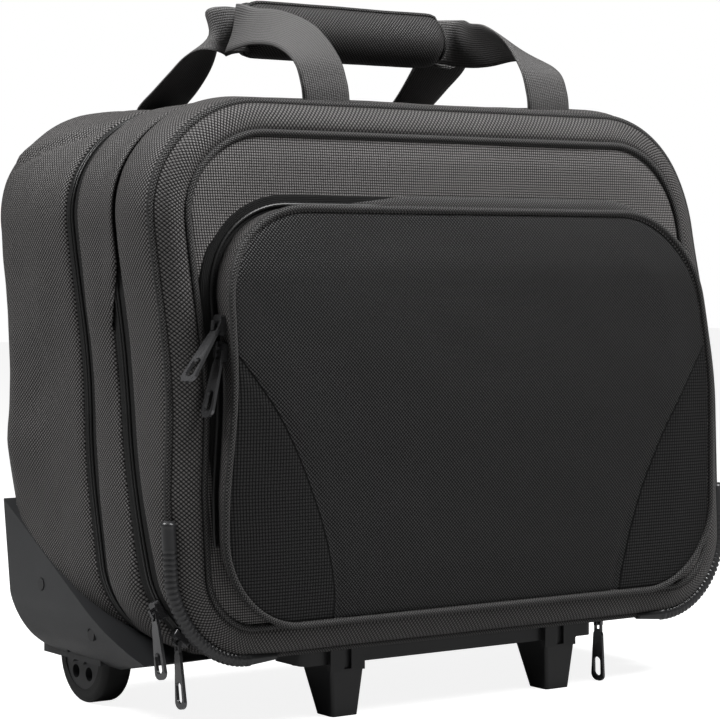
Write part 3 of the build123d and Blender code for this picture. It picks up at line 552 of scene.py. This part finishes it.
# colour, roughness, grain scale, grain height and, for metal, how metallic
MOULDED = {
    "protector_rubber": ((0.02, 0.02, 0.021), 0.3, 1500.0, 0.04 * MM),
    "zip_coil": ((0.008, 0.008, 0.008), 0.35, 1200.0, 0.05 * MM),
    "guard_plastic": ((0.022, 0.0225, 0.024), 0.42, 2200.0, 0.06 * MM),
    "rail_plastic": ((0.009, 0.009, 0.0095), 0.38, 2000.0, 0.06 * MM),
    "tube_aluminium": ((0.3, 0.3, 0.31), 0.35, 300.0, 0.02 * MM, 1.0),
    "steel": ((0.03, 0.03, 0.031), 0.35, 300.0, 0.02 * MM, 0.6),
    "tyre_rubber": ((0.008, 0.008, 0.008), 0.6, 900.0, 0.08 * MM),
    "hub_plastic": ((0.02, 0.02, 0.021), 0.45, 900.0, 0.05 * MM),
    "slider_metal": ((0.09, 0.09, 0.093), 0.22, 200.0, 0.01 * MM, 0.75),
    "button_plastic": ((0.05, 0.05, 0.055), 0.3, 800.0, 0.03 * MM),
}


def all_materials():
    """Every finish, by the record's slot name."""
    # The second colour of each woven finish goes on its thread and rib tops as a painted sheen.
    black = (0.0015, 0.0015, 0.0015)
    painted_sheen_grey = (0.14, 0.133, 0.131)
    finishes = {
        "ballistic_fabric": cloth_material("ballistic_fabric", black, painted_sheen_grey, 0.9 * MM),
        "panel_fabric": grid_material("panel_fabric", black, (0.22, 0.209, 0.206), 1.7 * MM),
        "pocket_fabric": pocket_material("pocket_fabric", black, (0.02, 0.0195, 0.02), 0.8 * MM),
        "piping": cloth_material("piping", black, (0.09, 0.087, 0.086), 0.7 * MM),
        "zip_tape": rib_material("zip_tape", black, (0.005, 0.005, 0.005), 1.1 * MM, 0.8, shine=0.2),
        "webbing": rib_material("webbing", (0.004, 0.004, 0.004), (0.09, 0.086, 0.085), 1.7 * MM),
        "grip_fabric": cloth_material("grip_fabric", black, (0.06, 0.057, 0.057), 0.8 * MM),
        "lining": cloth_material("lining", (0.03, 0.03, 0.032), (0.07, 0.07, 0.075), 0.5 * MM, 0.1 * MM),
    }
    for name, settings in MOULDED.items():
        finishes[name] = plastic_material(name, *settings)
    return finishes


MATERIALS = all_materials()


def dress(piece, material):
    """Give a piece its only material."""
    piece.data.materials.clear()
    piece.data.materials.append(MATERIALS[material])


def put(piece, body, material, nodes=()):
    """Finish a piece: material, body and the CAD nodes that it stands for."""
    dress(piece, material)
    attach(piece, body)
    if nodes:
        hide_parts(*nodes)
    return piece


def dress_cad_nodes():
    """Give every carried-over CAD node the material of its slot."""
    slots = {entry["node"]: entry["material_slot"] for entry in frame["record"]["subparts"]}
    for node, piece in frame["nodes"].items():
        material = MATERIALS[slots[node]]
        for index in range(max(1, len(piece.material_slots))):
            if index < len(piece.material_slots):
                piece.material_slots[index].material = material
            else:
                piece.data.materials.append(material)


# ---- soft body ----
ALL = list(range(len(BODY)))
BACK_Y = FRONT + DEPTH


def level(height):
    """A face that lies at one height over the whole of a band."""

    def out(index, depth, u):
        return height

    return out


def puff(size, seed, folds=1.0, top_size=0.0):
    """A cushion profile between two seams, with folds; top_size adds to it on the upper side."""

    def out(index, depth, u):
        point = BODY[index]
        crown = (4 * u * (1 - u)) ** 0.6
        edge = 1 - min(1.0, min(u, 1 - u) / 0.08)
        tall = size + top_size * max(0.0, point[3]) ** 2
        slack = fold(point[4], depth, seed, folds) * min(1.0, crown * 1.4)
        return tall * crown - 0.8 * MM * edge + slack

    return out


def crease(point, depth):
    """The long fold that runs back along each upper corner of the tub."""
    turn = math.degrees(math.atan2(point[3], abs(point[2]) + 1e-9))
    share = clamped((depth - 112 * MM) / (80 * MM))
    off = (turn - (54 - 24 * share)) * TOP_RADIUS * math.pi / 180
    strength = min(1.0, max(0.0, depth - 100 * MM) / (30 * MM)) if point[1] > 300 * MM else 0.0
    groove = math.exp(-((off / (3.2 * MM)) ** 2))
    shoulder = math.exp(-(((off - 9 * MM) / (7 * MM)) ** 2))
    return strength * (1.6 * MM * shoulder - 2.2 * MM * groove)


BACK_BORDER = 26 * MM
BACK_SHAPE = (
    LOW_HALF - BACK_ROUND - BACK_BORDER + 3 * MM,
    TOP_HALF - BACK_ROUND - BACK_BORDER + 3 * MM,
    LOW + BACK_ROUND + BACK_BORDER - 3 * MM,
    TOP - BACK_ROUND - BACK_BORDER + 3 * MM,
    LOW_RADIUS - BACK_ROUND - BACK_BORDER + 12 * MM,
    TOP_RADIUS - BACK_ROUND - BACK_BORDER + 3 * MM,
)


def rear_row(index, start):
    """One cross-section of the tub: along the side, round the rear edge, and back along the inside."""
    point = BODY[index]
    side_steps = 26
    round_steps = 8
    border_steps = 5
    end = DEPTH - BACK_ROUND
    row = []
    depths = []
    low_share = clamped((point[1] - 125 * MM) / (45 * MM))
    high_share = clamped((point[1] - 180 * MM) / (130 * MM))
    sag = (9.5 - 7 * high_share) * MM * low_share * abs(point[2])
    for j in range(side_steps + 1):
        u = j / side_steps
        depth = start + (end - start) * u
        crown = (4 * u * (1 - u)) ** 0.6
        seam = 1 - min(1.0, u / 0.06)
        out = 2.6 * MM * crown - 0.8 * MM * seam + fold(point[4], depth, 3, 1.8) * min(1, 3 * u)
        row.append(skin(point, depth, out + crease(point, depth) + sag * u * u))
        depths.append(depth)
    for j in range(1, round_steps + 1):
        depth = end + BACK_ROUND * math.pi / 2 * j / round_steps
        out = fold(point[4], depth, 3, 0.8) + sag * (1 - 0.7 * j / round_steps)
        row.append(skin(point, depth, out))
        depths.append(depth)
    rim = row[-1]
    inward = Vector((-point[2], 0, -point[3]))
    for j in range(1, border_steps + 1):
        share = j / border_steps
        dip = 1.5 * MM * max(0.0, share * 5 - 4)
        row.append(rim + inward * (BACK_BORDER * share) - Vector((0, dip, 0)))
        depths.append(depths[side_steps + round_steps] + BACK_BORDER * share)
    row.append(row[-1] - Vector((0, WALL - 1 * MM, 0)))
    depths.append(depths[-1] + WALL)
    for j in range(9):
        depth = end + (start - end) * j / 8
        row.append(skin(point, depth, -WALL))
        depths.append(depth)
    return row, [(point[4], depth) for depth in depths]


def rear_section():
    """The padded tub: its sides and rounded rear edges in one skin, and the padded back set into it."""
    rows = []
    places = []
    for index, point in enumerate(BODY):
        low = point[1] <= LOW + 1 * MM
        start = 8.3 * MM if low else REAR_DEPTH[index] + REAR_TAPE * REAR_SLANT[index]
        row, place = rear_row(index, start)
        rows.append(row)
        places.append(place)
    piece = outward(loft("rear_section_cover", rows, places, True, True))
    cut_wheel_wells(piece)
    cut_bezel_hole(piece)
    put(piece, "case", "ballistic_fabric", nodes=("rear_shell",))

    def outer(x, z):
        edge = max(0.0, edge_distance(BACK_SHAPE, x, z))
        return BACK_Y - 2.2 * MM + 4.2 * MM * min(1.0, edge / (24 * MM)) ** 0.6 + fold(x, z, 5, 0.7)

    def inner(x, z):
        return BACK_Y - WALL - 1 * MM

    piece = cushion("back_panel_cover", BACK_SHAPE, outer, inner)
    put(piece, "case", "ballistic_fabric")


def cut(piece, cutter):
    """Take a closed cutter out of a piece, and drop the cutter."""
    modifier = piece.modifiers.new("cut", "BOOLEAN")
    modifier.operation = "DIFFERENCE"
    modifier.solver = "EXACT"
    modifier.object = cutter
    bpy.context.view_layer.update()
    shape = bpy.data.meshes.new_from_object(piece.evaluated_get(bpy.context.evaluated_depsgraph_get()))
    piece.modifiers.clear()
    piece.data = shape
    bpy.data.objects.remove(cutter)


WELL_RADIUS = 38.5 * MM
WELL_WIDTH = 35 * MM


def cut_wheel_wells(piece):
    """Cut the drums that house the wheels out of the skin."""
    for name in ("wheel_tyre_left", "wheel_tyre_right"):
        low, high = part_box(name)
        bpy.ops.mesh.primitive_cylinder_add(vertices=64, radius=WELL_RADIUS, depth=WELL_WIDTH)
        cutter = bpy.context.object
        cutter.matrix_world = Matrix.Translation((low + high) / 2) @ Matrix.Rotation(math.pi / 2, 4, "Y")
        cut(piece, cutter)


def cut_bezel_hole(piece):
    """Cut the opening in the top that the handle's tray sits in."""
    low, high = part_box("handle_bezel")
    size = high - low
    bpy.ops.mesh.primitive_cube_add(size=1)
    cutter = bpy.context.object
    cutter.scale = (size.x - 8 * MM, size.y - 5 * MM, size.z * 2)
    cutter.location = ((low.x + high.x) / 2, (low.y + high.y) / 2, high.z)
    cut(piece, cutter)


def flap(point):
    """How far the pleat covers the main zip at a height, from 0 to 1."""
    return eased((point[1] - 245 * MM) / (50 * MM))


def middle_edges():
    """The edges of the middle band; its front edge covers the upper part of the main zip."""
    front = []
    rear = []
    for index, point in enumerate(BODY):
        reach = MAIN_TAPE * (1 - 1.85 * flap(point)) * MAIN_SLANT[index]
        front.append(MAIN_DEPTH[index] + reach)
        rear.append(REAR_DEPTH[index] - REAR_TAPE * REAR_SLANT[index])
    return front, rear


def longest_run(flags):
    """The longest stretch of true flags round the closed outline, in order."""
    count = len(flags)
    best = []
    for start in range(count):
        if flags[start] and not flags[start - 1]:
            run = []
            index = start
            while flags[index % count] and len(run) < count:
                run.append(index % count)
                index += 1
            if len(run) > len(best):
                best = run
    return best


def soft_bands():
    """The hoops of cloth between the zips."""
    gusset_edge = []
    for index, point in enumerate(BODY):
        high = point[1] > 57 * MM
        gusset_edge.append(MAIN_DEPTH[index] - MAIN_TAPE * MAIN_SLANT[index] if high else 7.7 * MM)
    start = [1.0 * MM] * len(BODY)
    out = puff(2.0 * MM, 11, 0.8, 3.2 * MM)
    piece = band("front_gusset_cover", ALL, start, gusset_edge, out, level(-WALL), 14, True)
    put(piece, "front_section", "ballistic_fabric", nodes=("front_gusset",))

    edge_0, edge_1 = middle_edges()
    indices = longest_run([edge_1[i] - edge_0[i] > 1.5 * MM for i in ALL])
    swell = puff(2.4 * MM, 17, 1.2)

    def over(index, depth, u):
        pleat = flap(BODY[index]) * max(0.0, 1 - u / 0.35)
        return swell(index, depth, u) + pleat * 2.6 * MM

    def under(index, depth, u):
        beyond = depth - MAIN_DEPTH[index] - MAIN_TAPE * MAIN_SLANT[index]
        return 0.7 * MM if beyond < -0.2 * MM else -WALL

    piece = band("middle_gusset_cover", indices, edge_0, edge_1, over, under, 14, False)
    put(piece, "middle_section", "ballistic_fabric", nodes=("middle_gusset",))


def zip_tapes():
    """The four tape halves and their coils."""
    gap = 0.35 * MM
    high = [point[1] > 58 * MM for point in BODY]
    above = [point[1] > 52 * MM for point in BODY]
    halves = (
        ("main_zip_front_tape", "front_section", MAIN_DEPTH, MAIN_SLANT, -MAIN_TAPE, -gap, high, None),
        ("main_zip_rear_tape", "middle_section", MAIN_DEPTH, MAIN_SLANT, gap, MAIN_TAPE, above, MIDDLE),
        (
            "rear_zip_inner_tape", "middle_section",
            REAR_DEPTH, REAR_SLANT, -REAR_TAPE, -gap, above, MIDDLE,
        ),
        ("rear_zip_outer_tape", "case", REAR_DEPTH, REAR_SLANT, gap, REAR_TAPE, above, None),
    )
    for name, body, depths, slants, low, top, flags, limit in halves:
        edge_0 = [depths[i] + low * slants[i] for i in ALL]
        edge_1 = [depths[i] + top * slants[i] for i in ALL]
        if limit is not None:
            if low > 0:
                edge_1 = [min(edge, limit[i]) for i, edge in enumerate(edge_1)]
            else:
                edge_0 = [max(edge, limit[i]) for i, edge in enumerate(edge_0)]
        indices = longest_run(flags)
        faces = (level(-1.4 * MM), level(-3.2 * MM))
        piece = band(name + "_cloth", indices, edge_0, edge_1, *faces, 4, False)
        put(piece, body, "zip_tape", nodes=(name,))
        side = -1 if low < 0 else 1
        line = []
        for index in indices:
            line.append(skin(BODY[index], depths[index] + side * 1.5 * MM * slants[index], -0.9 * MM))
        put(zip_coil(name + "_coil", line, 1.15 * MM), body, "zip_coil")


def zip_coil(name, line, radius):
    """One half of a zip's coil: a cord with a turn every tooth."""
    pitch = 1.3 * MM
    points = []
    for first, second in zip(line, line[1:]):
        parts = max(1, round((second - first).length / pitch))
        for part in range(parts):
            points.append(first.lerp(second, part / parts))
    return tube(name, points, radius, 6, swell=lambda index: 1.0 if index % 2 else 0.78)


# ---- front ----
def edge_dip(u):
    """How deep the cloth tucks in beside its two seams."""
    return max(0.0, 1 - min(u, 1 - u) / 0.1)


def joint_dip(x, z):
    """The border is pinched where its two strips are joined."""
    low = math.hypot(x + 191 * MM, z - 61 * MM)
    high = math.hypot(x - 183 * MM, z - 362 * MM)
    return 1 - 0.75 * math.exp(-((min(low, high) / (4.5 * MM)) ** 2))


def inset_shape(shape, inset):
    """A shape drawn in by the same distance all round."""
    low_half, top_half, low, top, low_radius, top_radius = shape
    halves = (low_half - inset, top_half - inset)
    return (*halves, low + inset, top - inset, low_radius - inset, top_radius - inset)


def front_border():
    """The padded border between the two welts of the front."""
    rows = []
    places = []
    steps = 12
    for x, z, normal_x, normal_z, distance in BODY:
        row = []
        place = []
        for j in range(steps + 1):
            u = j / steps
            inset = BORDER * u
            crown = 4.2 * MM * (4 * u * (1 - u)) ** 0.75 * joint_dip(x, z)
            crown += fold(distance, inset, 23, 0.7) * (4 * u * (1 - u)) - 1.2 * MM * edge_dip(u)
            out = crown * 0.35 - inset
            y = FRONT - PANEL_OUT * u - crown * 0.9
            row.append(Vector((x + normal_x * out, y, z + normal_z * out)))
            place.append((distance, inset))
        for inset, y in ((BORDER, FRONT - PANEL_OUT + 4 * MM), (2 * MM, FRONT + 1 * MM)):
            row.append(Vector((x - normal_x * inset, y, z - normal_z * inset)))
            place.append((distance, inset + 30 * MM))
        rows.append(row)
        places.append(place)
    piece = outward(loft("front_border_cover", rows, places, True, True))
    put(piece, "front_section", "ballistic_fabric", nodes=("front_panel",))


def welt(name, line, radius, body, node):
    """A cloth-covered cord that is closed on itself."""
    put(tube(name, line, radius, 10, closed=True), body, "piping", nodes=(node,))


def front_welts():
    """The cords along both seams of the front."""
    line = [Vector((x, FRONT, z)) for x, z, _, _, _ in BODY]
    welt("front_welt", line, WELT_RADIUS, "front_section", "front_piping")
    inset = BORDER + 0.4 * MM
    line = []
    for x, z, normal_x, normal_z, _ in BODY:
        line.append(Vector((x - normal_x * inset, FRONT - PANEL_OUT - 0.6 * MM, z - normal_z * inset)))
    welt("panel_welt", line, WELT_RADIUS - 0.1 * MM, "front_section", "panel_piping")


PANEL_SHAPE = inset_shape(BODY_SHAPE, BORDER)


def panel_y(x, z):
    """The outer face of the flat front inside the border."""
    edge = edge_distance(PANEL_SHAPE, x, z)
    dome = 1.8 * MM * min(1.0, max(0.0, edge) / (16 * MM)) - 1.0 * MM * max(0.0, 1 - edge / (3 * MM))
    return FRONT - PANEL_OUT - dome + fold(x, z, 29, 0.35)


def front_face():
    """The flat quilted front inside the border."""
    front_border()
    front_welts()

    def inner(x, z):
        return FRONT - PANEL_OUT + 6 * MM

    piece = cushion("front_panel_cover", PANEL_SHAPE, panel_y, inner)
    put(piece, "front_section", "panel_fabric")


POCKET_TOP = pocket_high[2]
POCKET_LOW = pocket_low[2]
POCKET_BACK = pocket_high[1]
POCKET_TOP_Y = pocket_low[1]
POCKET_LOW_Y = FRONT - 19 * MM
POCKET_WALL = 3 * MM
POCKET_SHAPE = (203 * MM, 186 * MM, POCKET_LOW, POCKET_TOP, 56 * MM, 62 * MM)


def pocket_face_y(z):
    """Where the pocket's face stands at a height, before its padding."""
    share = clamped((z - POCKET_LOW) / (POCKET_TOP - 40 * MM - POCKET_LOW))
    return POCKET_LOW_Y + (POCKET_TOP_Y - POCKET_LOW_Y) * share


def pocket_outer(x, z):
    """The padded outside of the pocket's face."""
    edge = max(0.0, edge_distance(POCKET_SHAPE, x, z))
    dome = 3.4 * MM * min(1.0, edge / (34 * MM)) ** 0.7
    tuck = 1.6 * MM * max(0.0, 1 - edge / (4 * MM))
    rise = max(0.0, z - 80 * MM)
    seam = abs(abs(x) - (114 * MM + 0.12 * rise + 2.5 * rise * rise))
    pinch = 1.1 * MM * math.exp(-((seam / (2.6 * MM)) ** 2)) * min(1.0, edge / (10 * MM))
    return pocket_face_y(z) - dome + tuck + pinch + fold(x, z, 31, 0.55) * min(1.0, edge / (20 * MM))


def pocket():
    """The front pocket: its side wall, padded face and welt."""
    path = outline_path(POCKET_SHAPE, STEP)
    rows = []
    places = []
    steps = 8
    for x, z, normal_x, normal_z, distance in path:
        row = []
        place = []
        face_y = pocket_face_y(z)
        for j in range(steps + 1):
            u = j / steps
            slack = fold(distance, u * 0.02, 37, 0.5) * u
            out = 1.2 * MM * (4 * u * (1 - u)) - 1.4 * MM * (1 - u) + slack
            y = POCKET_BACK + (face_y - POCKET_BACK) * u
            row.append(Vector((x + normal_x * out, y, z + normal_z * out)))
            place.append((distance, y))
        for y in (face_y, POCKET_BACK):
            row.append(Vector((x - normal_x * POCKET_WALL, y, z - normal_z * POCKET_WALL)))
            place.append((distance, y))
        rows.append(row)
        places.append(place)
    piece = outward(loft("pocket_wall_cover", rows, places, True, True))
    put(piece, "front_pocket", "ballistic_fabric", nodes=("pocket_shell",))

    def inner(x, z):
        return pocket_face_y(z) + POCKET_WALL

    piece = cushion("pocket_face_cover", POCKET_SHAPE, pocket_outer, inner, 80)
    put(piece, "front_pocket", "pocket_fabric")
    rim = [Vector((x, pocket_face_y(z) - 0.6 * MM, z)) for x, z, _, _, _ in path]
    welt("pocket_welt", rim, WELT_RADIUS - 0.2 * MM, "front_pocket", "pocket_piping")


def pocket_zip():
    """The pocket's zip on the front: a sewn tape, a coil, and the flap that covers it along the top."""
    path = [point for point in outline_path(POCKET_SHAPE, STEP) if point[1] > POCKET_LOW + 50 * MM]
    start = min(range(len(path)), key=lambda index: (path[index][0] > 0, path[index][1]))
    path = path[start:] + path[:start]
    rows = []
    places = []
    line = []
    for x, z, normal_x, normal_z, distance in path:
        row = []
        place = []
        wide = max(0.3, min(1.0, (z - 112 * MM) / (90 * MM)))
        for out, lift in ((-6, 0), (-2, 1.2), (2, 1.2), (7, 0.9), (9, 0), (9, -1.5), (-6, -1.5)):
            out = out * wide - 4 * (1 - wide)
            spot_x = x + normal_x * out * MM
            spot_z = z + normal_z * out * MM
            row.append(Vector((spot_x, FRONT - PANEL_OUT - (1.6 + lift) * MM, spot_z)))
            place.append((distance, out * MM))
        rows.append(row)
        places.append(place)
        beside = 2.2 * MM
        spot = Vector((x + normal_x * beside, FRONT - PANEL_OUT - 3.1 * MM, z + normal_z * beside))
        line.append(spot)
    piece = outward(loft("pocket_zip_tape_cloth", rows, places, False, True, cap=True))
    put(piece, "front_section", "zip_tape", nodes=("pocket_zip_tape",))
    put(zip_coil("pocket_zip_coil", line, 1.5 * MM), "front_section", "zip_coil")
    top = [point for point in path if point[3] > 0.5 and point[0] > -120 * MM]
    rows = []
    places = []
    for x, z, normal_x, normal_z, distance in top:
        row = []
        place = []
        grown = min(1.0, (x + 120 * MM) / (90 * MM))
        for out, lift in ((0.5, 4.2), (3, 4.6), (6, 4.0), (8, 3.0), (9.5, 1.2), (9.5, 0), (0.5, 3.4)):
            out = 0.5 + (out - 0.5) * grown
            spot_x = x + normal_x * out * MM
            spot_z = z + normal_z * out * MM
            row.append(Vector((spot_x, FRONT - PANEL_OUT - (1.2 + lift * grown) * MM, spot_z)))
            place.append((distance, out * MM))
        rows.append(row)
        places.append(place)
    piece = outward(loft("pocket_zip_flap", rows, places, False, True, cap=True))
    put(piece, "front_section", "piping")


def corner_protectors():
    """Ribbed rubber sleeves over the outer welt at the bottom corners."""
    spacing = 1.1 * MM
    fine = outline_path(BODY_SHAPE, spacing)
    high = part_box("corner_protector_left")[1]
    reach = high.x + 8 * MM
    summit = high.z + 8 * MM
    up = [point for point in fine if point[0] < 0 and point[1] < summit and point[2] < -0.001]
    flat = [point for point in fine if point[1] < LOW + 0.1 * MM and point[2] > -0.001]
    along = [point for point in flat if point[0] < reach]
    line = []
    for x, z, normal_x, normal_z, _ in list(reversed(up)) + list(reversed(along)):
        line.append(Vector((x + normal_x * 1.0 * MM, FRONT - 1.5 * MM, z + normal_z * 1.0 * MM)))
    count = len(line)
    cap = round(19 * MM / spacing)
    tail = len(along)

    def swell(index):
        if index < 2:
            return 0.6 + 0.3 * index
        if index < cap:
            return 1.12 if index < 4 else 1.0
        if index > count - tail:
            return 0.95 - 0.5 * (index - count + tail) / tail
        return 1.04 if index % 3 else 0.82

    for side, name in ((1, "left"), (-1, "right")):
        spots = [Vector((side * spot.x, spot.y, spot.z)) for spot in line]
        piece = tube("corner_sleeve_" + name, spots, 4.5 * MM, 14, swell=swell)
        put(piece, "front_section", "protector_rubber", nodes=("corner_protector_" + name,))


# ---- zip sliders and pulls ----
ZIPS = ("main_zip_upper", "main_zip_lower", "rear_zip", "pocket_zip_upper", "pocket_zip_lower")


def flare(mesh):
    """Widen a pull's far end into a ring."""
    spots = [vertex.co.copy() for vertex in mesh.vertices]
    top = max(spots, key=lambda spot: spot.z)
    foot = max(spots, key=lambda spot: (spot - top).length)
    along = (foot - top).normalized()
    length = (foot - top).length
    centre = (top + foot) / 2
    aside = [spot - centre - along * (spot - centre).dot(along) for spot in spots]
    across = max(aside, key=lambda way: way.length).normalized()
    for vertex, spot in zip(mesh.vertices, spots):
        grow = 0.5 * eased(((spot - top).dot(along) / length - 0.4) / 0.25)
        vertex.co = spot + across * (grow * (spot - centre).dot(across))


def small_metal():
    """Softly rounded, leaned copies of the sliders and pulls."""
    for zip_name in ZIPS:
        for kind in ("slider", "pull"):
            node = zip_name + "_" + kind
            low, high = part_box(node)
            centre = (low + high) / 2
            source = frame["nodes"][node]
            mesh = bpy.data.meshes.new_from_object(source)
            mesh.transform(source.matrix_world)
            mesh.transform(Matrix.Translation(lean(centre) - centre))
            if kind == "pull":
                flare(mesh)
            piece = bpy.data.objects.new(node + "_cast", mesh)
            bpy.context.scene.collection.objects.link(piece)
            bevel = piece.modifiers.new("round", "BEVEL")
            bevel.width = 0.45 * MM
            bevel.segments = 3
            bevel.limit_method = "ANGLE"
            bevel.angle_limit = math.radians(40)
            for face in mesh.polygons:
                face.use_smooth = True
            put(piece, node, "slider_metal", nodes=(node,))


# ---- handles ----
def ribbon(name, spine, width, thick):
    """Webbing along spine points, each with the direction that the webbing's width takes."""
    rows = []
    places = []
    distance = 0.0
    count = len(spine)
    for index, (point, wide_way) in enumerate(spine):
        ahead = spine[min(index + 1, count - 1)][0]
        back = spine[max(index - 1, 0)][0]
        way = (ahead - back).normalized()
        wide_way = (wide_way - way * wide_way.dot(way)).normalized()
        face = way.cross(wide_way).normalized()
        if index:
            distance += (point - spine[index - 1][0]).length
        row = []
        place = []
        steps = 10
        for side in (1, -1):
            for j in range(steps + 1):
                u = side * (2 * j / steps - 1)
                lift = side * thick / 2 * (1 - 0.5 * abs(u) ** 6)
                row.append(point + wide_way * (width(index) / 2 * u) + face * lift)
                place.append((distance, width(index) / 2 * u))
        rows.append(row)
        places.append(place)
    return outward(loft(name, rows, places, False, True, cap=True))


def curve_through(points, parts):
    """A smooth line through points, Catmull-Rom."""
    result = []
    count = len(points)
    for index in range(count - 1):
        p0 = points[max(index - 1, 0)]
        p1 = points[index]
        p2 = points[index + 1]
        p3 = points[min(index + 2, count - 1)]
        for part in range(parts):
            t = part / parts
            linear = 2 * p1 + (p2 - p0) * t
            square = (2 * p0 - 5 * p1 + 4 * p2 - p3) * t**2
            cube = (3 * p1 - p0 - 3 * p2 + p3) * t**3
            result.append((linear + square + cube) * 0.5)
    result.append(points[-1].copy())
    return result


GRIP_Z = 446 * MM
GRIP_DEPTH = 112 * MM
GRIP_HALF = 80 * MM
GRIP_RADIUS = 18.6 * MM
WEBBING_WIDE = 35 * MM
WEBBING_THICK = 2.4 * MM
LEG_TOP = 446
LEG_RISE = 57
# millimetres across, back from the front seam and up, and the way that the webbing's width takes
FRONT_LEG = (
    ((92, 9, 389), (1, 0, 0)),
    ((92, 8, 404), (1, 0, 0)),
    ((92, 13, 420), (1, 0, 0.1)),
    ((93, 32, 435), (0.9, 0, 0.4)),
    ((96, 58, 442), (0.75, 0, 0.65)),
    ((98, 84, 443), (0.55, -0.1, 0.85)),
    ((93, 100, 445), (0.2, 0, 1)),
    ((80, 106, 446), (0, 0, 1)),
    ((60, 106, 446), (0, 0, 1)),
)
REAR_LEG = (
    ((98, 196, 390), (1, 0, 0)),
    ((98, 187, 398), (1, 0, 0)),
    ((98, 168, 408), (1, 0, 0.05)),
    ((98, 149, 420), (0.95, 0, 0.2)),
    ((99, 132, 433), (0.8, 0, 0.5)),
    ((97, 122, 442), (0.45, 0, 0.85)),
    ((90, 118, 445), (0.1, 0, 1)),
    ((78, 118, 446), (0, 0, 1)),
    ((60, 118, 446), (0, 0, 1)),
)


def carry_loops():
    """Both webbing loops: flat at the seam, turning to lie along the grip."""
    for name, leg, left_shift, right_shift in (("front", FRONT_LEG, 11, 9), ("rear", REAR_LEG, 0, 10)):
        spots = []
        ways = []
        for side, order, shift in ((-1, leg, left_shift), (1, reversed(leg), right_shift)):
            for (x, depth, z), (way_x, way_y, way_z) in order:
                low_share = max(0.0, (LEG_TOP - z) / LEG_RISE)
                spots.append(Vector(((side * x + shift * low_share) * MM, FRONT + depth * MM, z * MM)))
                ways.append(Vector((-side * way_x, way_y, way_z)))
        points = curve_through(spots, 8)
        directions = curve_through(ways, 8)
        count = len(points)

        def width(index, count=count):
            inner = min(index, count - 1 - index) / (count / 2)
            return WEBBING_WIDE - 5 * MM * clamped((inner - 0.62) / 0.2)

        piece = ribbon(name + "_webbing", list(zip(points, directions)), width, WEBBING_THICK)
        put(piece, name + "_handle", "webbing", nodes=(name + "_strap",))


def grip_wrap():
    """The padded wrap, in two halves that meet along their bound edges."""
    steps = 40
    sides = 18
    for name, near in (("front", -1), ("rear", 1)):
        rows = []
        places = []
        edge = []
        for i in range(steps + 1):
            share = i / steps
            x = -GRIP_HALF + 2 * GRIP_HALF * share
            end = min(1.0, min(share, 1 - share) / 0.07)
            swell = 0.72 + 0.28 * math.sqrt(max(0.0, 1 - (1 - end) ** 2))
            row = []
            place = []
            for j in range(sides + 1):
                angle = math.pi * j / sides
                radius = GRIP_RADIUS * swell + fold(x, angle * 0.02, 41 + near, 0.45)
                y = FRONT + GRIP_DEPTH + near * (0.4 * MM + radius * 0.95 * math.sin(angle))
                row.append(Vector((x, y, GRIP_Z + radius * math.cos(angle))))
                place.append((x, angle * 18 * MM))
            rows.append(row)
            places.append(place)
            edge.append(row[2] + (row[2] - Vector((x, FRONT + GRIP_DEPTH, GRIP_Z))) * 0.03)
        piece = outward(loft(name + "_grip_cover", rows, places, False, True, cap=True))
        put(piece, name + "_handle", "grip_fabric", nodes=(name + "_grip_pad",))
        down = [rows[-1][j] + Vector((1 * MM, 0, 0)) for j in range(3, sides - 1)]
        binding = tube(name + "_grip_binding", edge + down, 1.3 * MM, 8)
        put(binding, name + "_handle", "piping")


# ---- stage ----
def stage():
    """A pale floor, soft studio lights and the camera."""
    bpy.context.scene.view_settings.view_transform = "Standard"
    bpy.ops.mesh.primitive_plane_add(size=14, location=(0, 0, 0))
    floor = bpy.context.object
    floor.name = "floor"
    nodes = Nodes("floor")
    nodes.shade("Base Color", (0.38, 0.38, 0.38, 1))
    nodes.shade("Roughness", 0.8)
    nodes.shade("Emission Color", (1, 1, 1, 1))
    seen = nodes.add("ShaderNodeLightPath").outputs["Is Camera Ray"]
    nodes.link(nodes.math("MULTIPLY", seen, 0.88), nodes.shader.inputs["Emission Strength"])
    floor.data.materials.append(nodes.material)
    world = bpy.data.worlds.new("studio")
    bpy.context.scene.world = world
    world.use_nodes = True
    tree = world.node_tree
    seen = tree.nodes.new("ShaderNodeLightPath").outputs["Is Camera Ray"]
    strength = tree.nodes.new("ShaderNodeMapRange")
    strength.inputs["To Min"].default_value = 0.07
    strength.inputs["To Max"].default_value = 1.0
    tree.links.new(seen, strength.inputs["Value"])
    tree.links.new(strength.outputs[0], tree.nodes["Background"].inputs["Strength"])
    tree.nodes["Background"].inputs["Color"].default_value = (1, 1, 1, 1)
    lamps = (
        ("front", (0.45, -0.8, 1.5), 0.7, 41),
        ("side", (-1.1, 0.45, 1.45), 0.7, 31),
        ("top", (0.0, 0.1, 1.8), 1.0, 7),
    )
    target = Vector((0, 0, 0.25))
    for name, spot, size, power in lamps:
        light = bpy.data.lights.new(name, "AREA")
        light.size = size
        light.energy = power
        lamp = bpy.data.objects.new(name, light)
        bpy.context.scene.collection.objects.link(lamp)
        lamp.location = spot
        lamp.rotation_euler = (target - Vector(spot)).to_track_quat("-Z", "Y").to_euler()
    data = bpy.data.cameras.new("camera")
    data.lens = 120
    data.sensor_width = 36
    camera = bpy.data.objects.new("camera", data)
    bpy.context.scene.collection.objects.link(camera)
    camera.location = (-0.956, -1.336, 0.287)
    camera.rotation_euler = (math.radians(90 - 2.2), 0, math.radians(-35))
    bpy.context.scene.camera = camera


dress_cad_nodes()
rear_section()
soft_bands()
zip_tapes()
front_face()
pocket()
pocket_zip()
corner_protectors()
small_metal()
carry_loops()
grip_wrap()
stage()
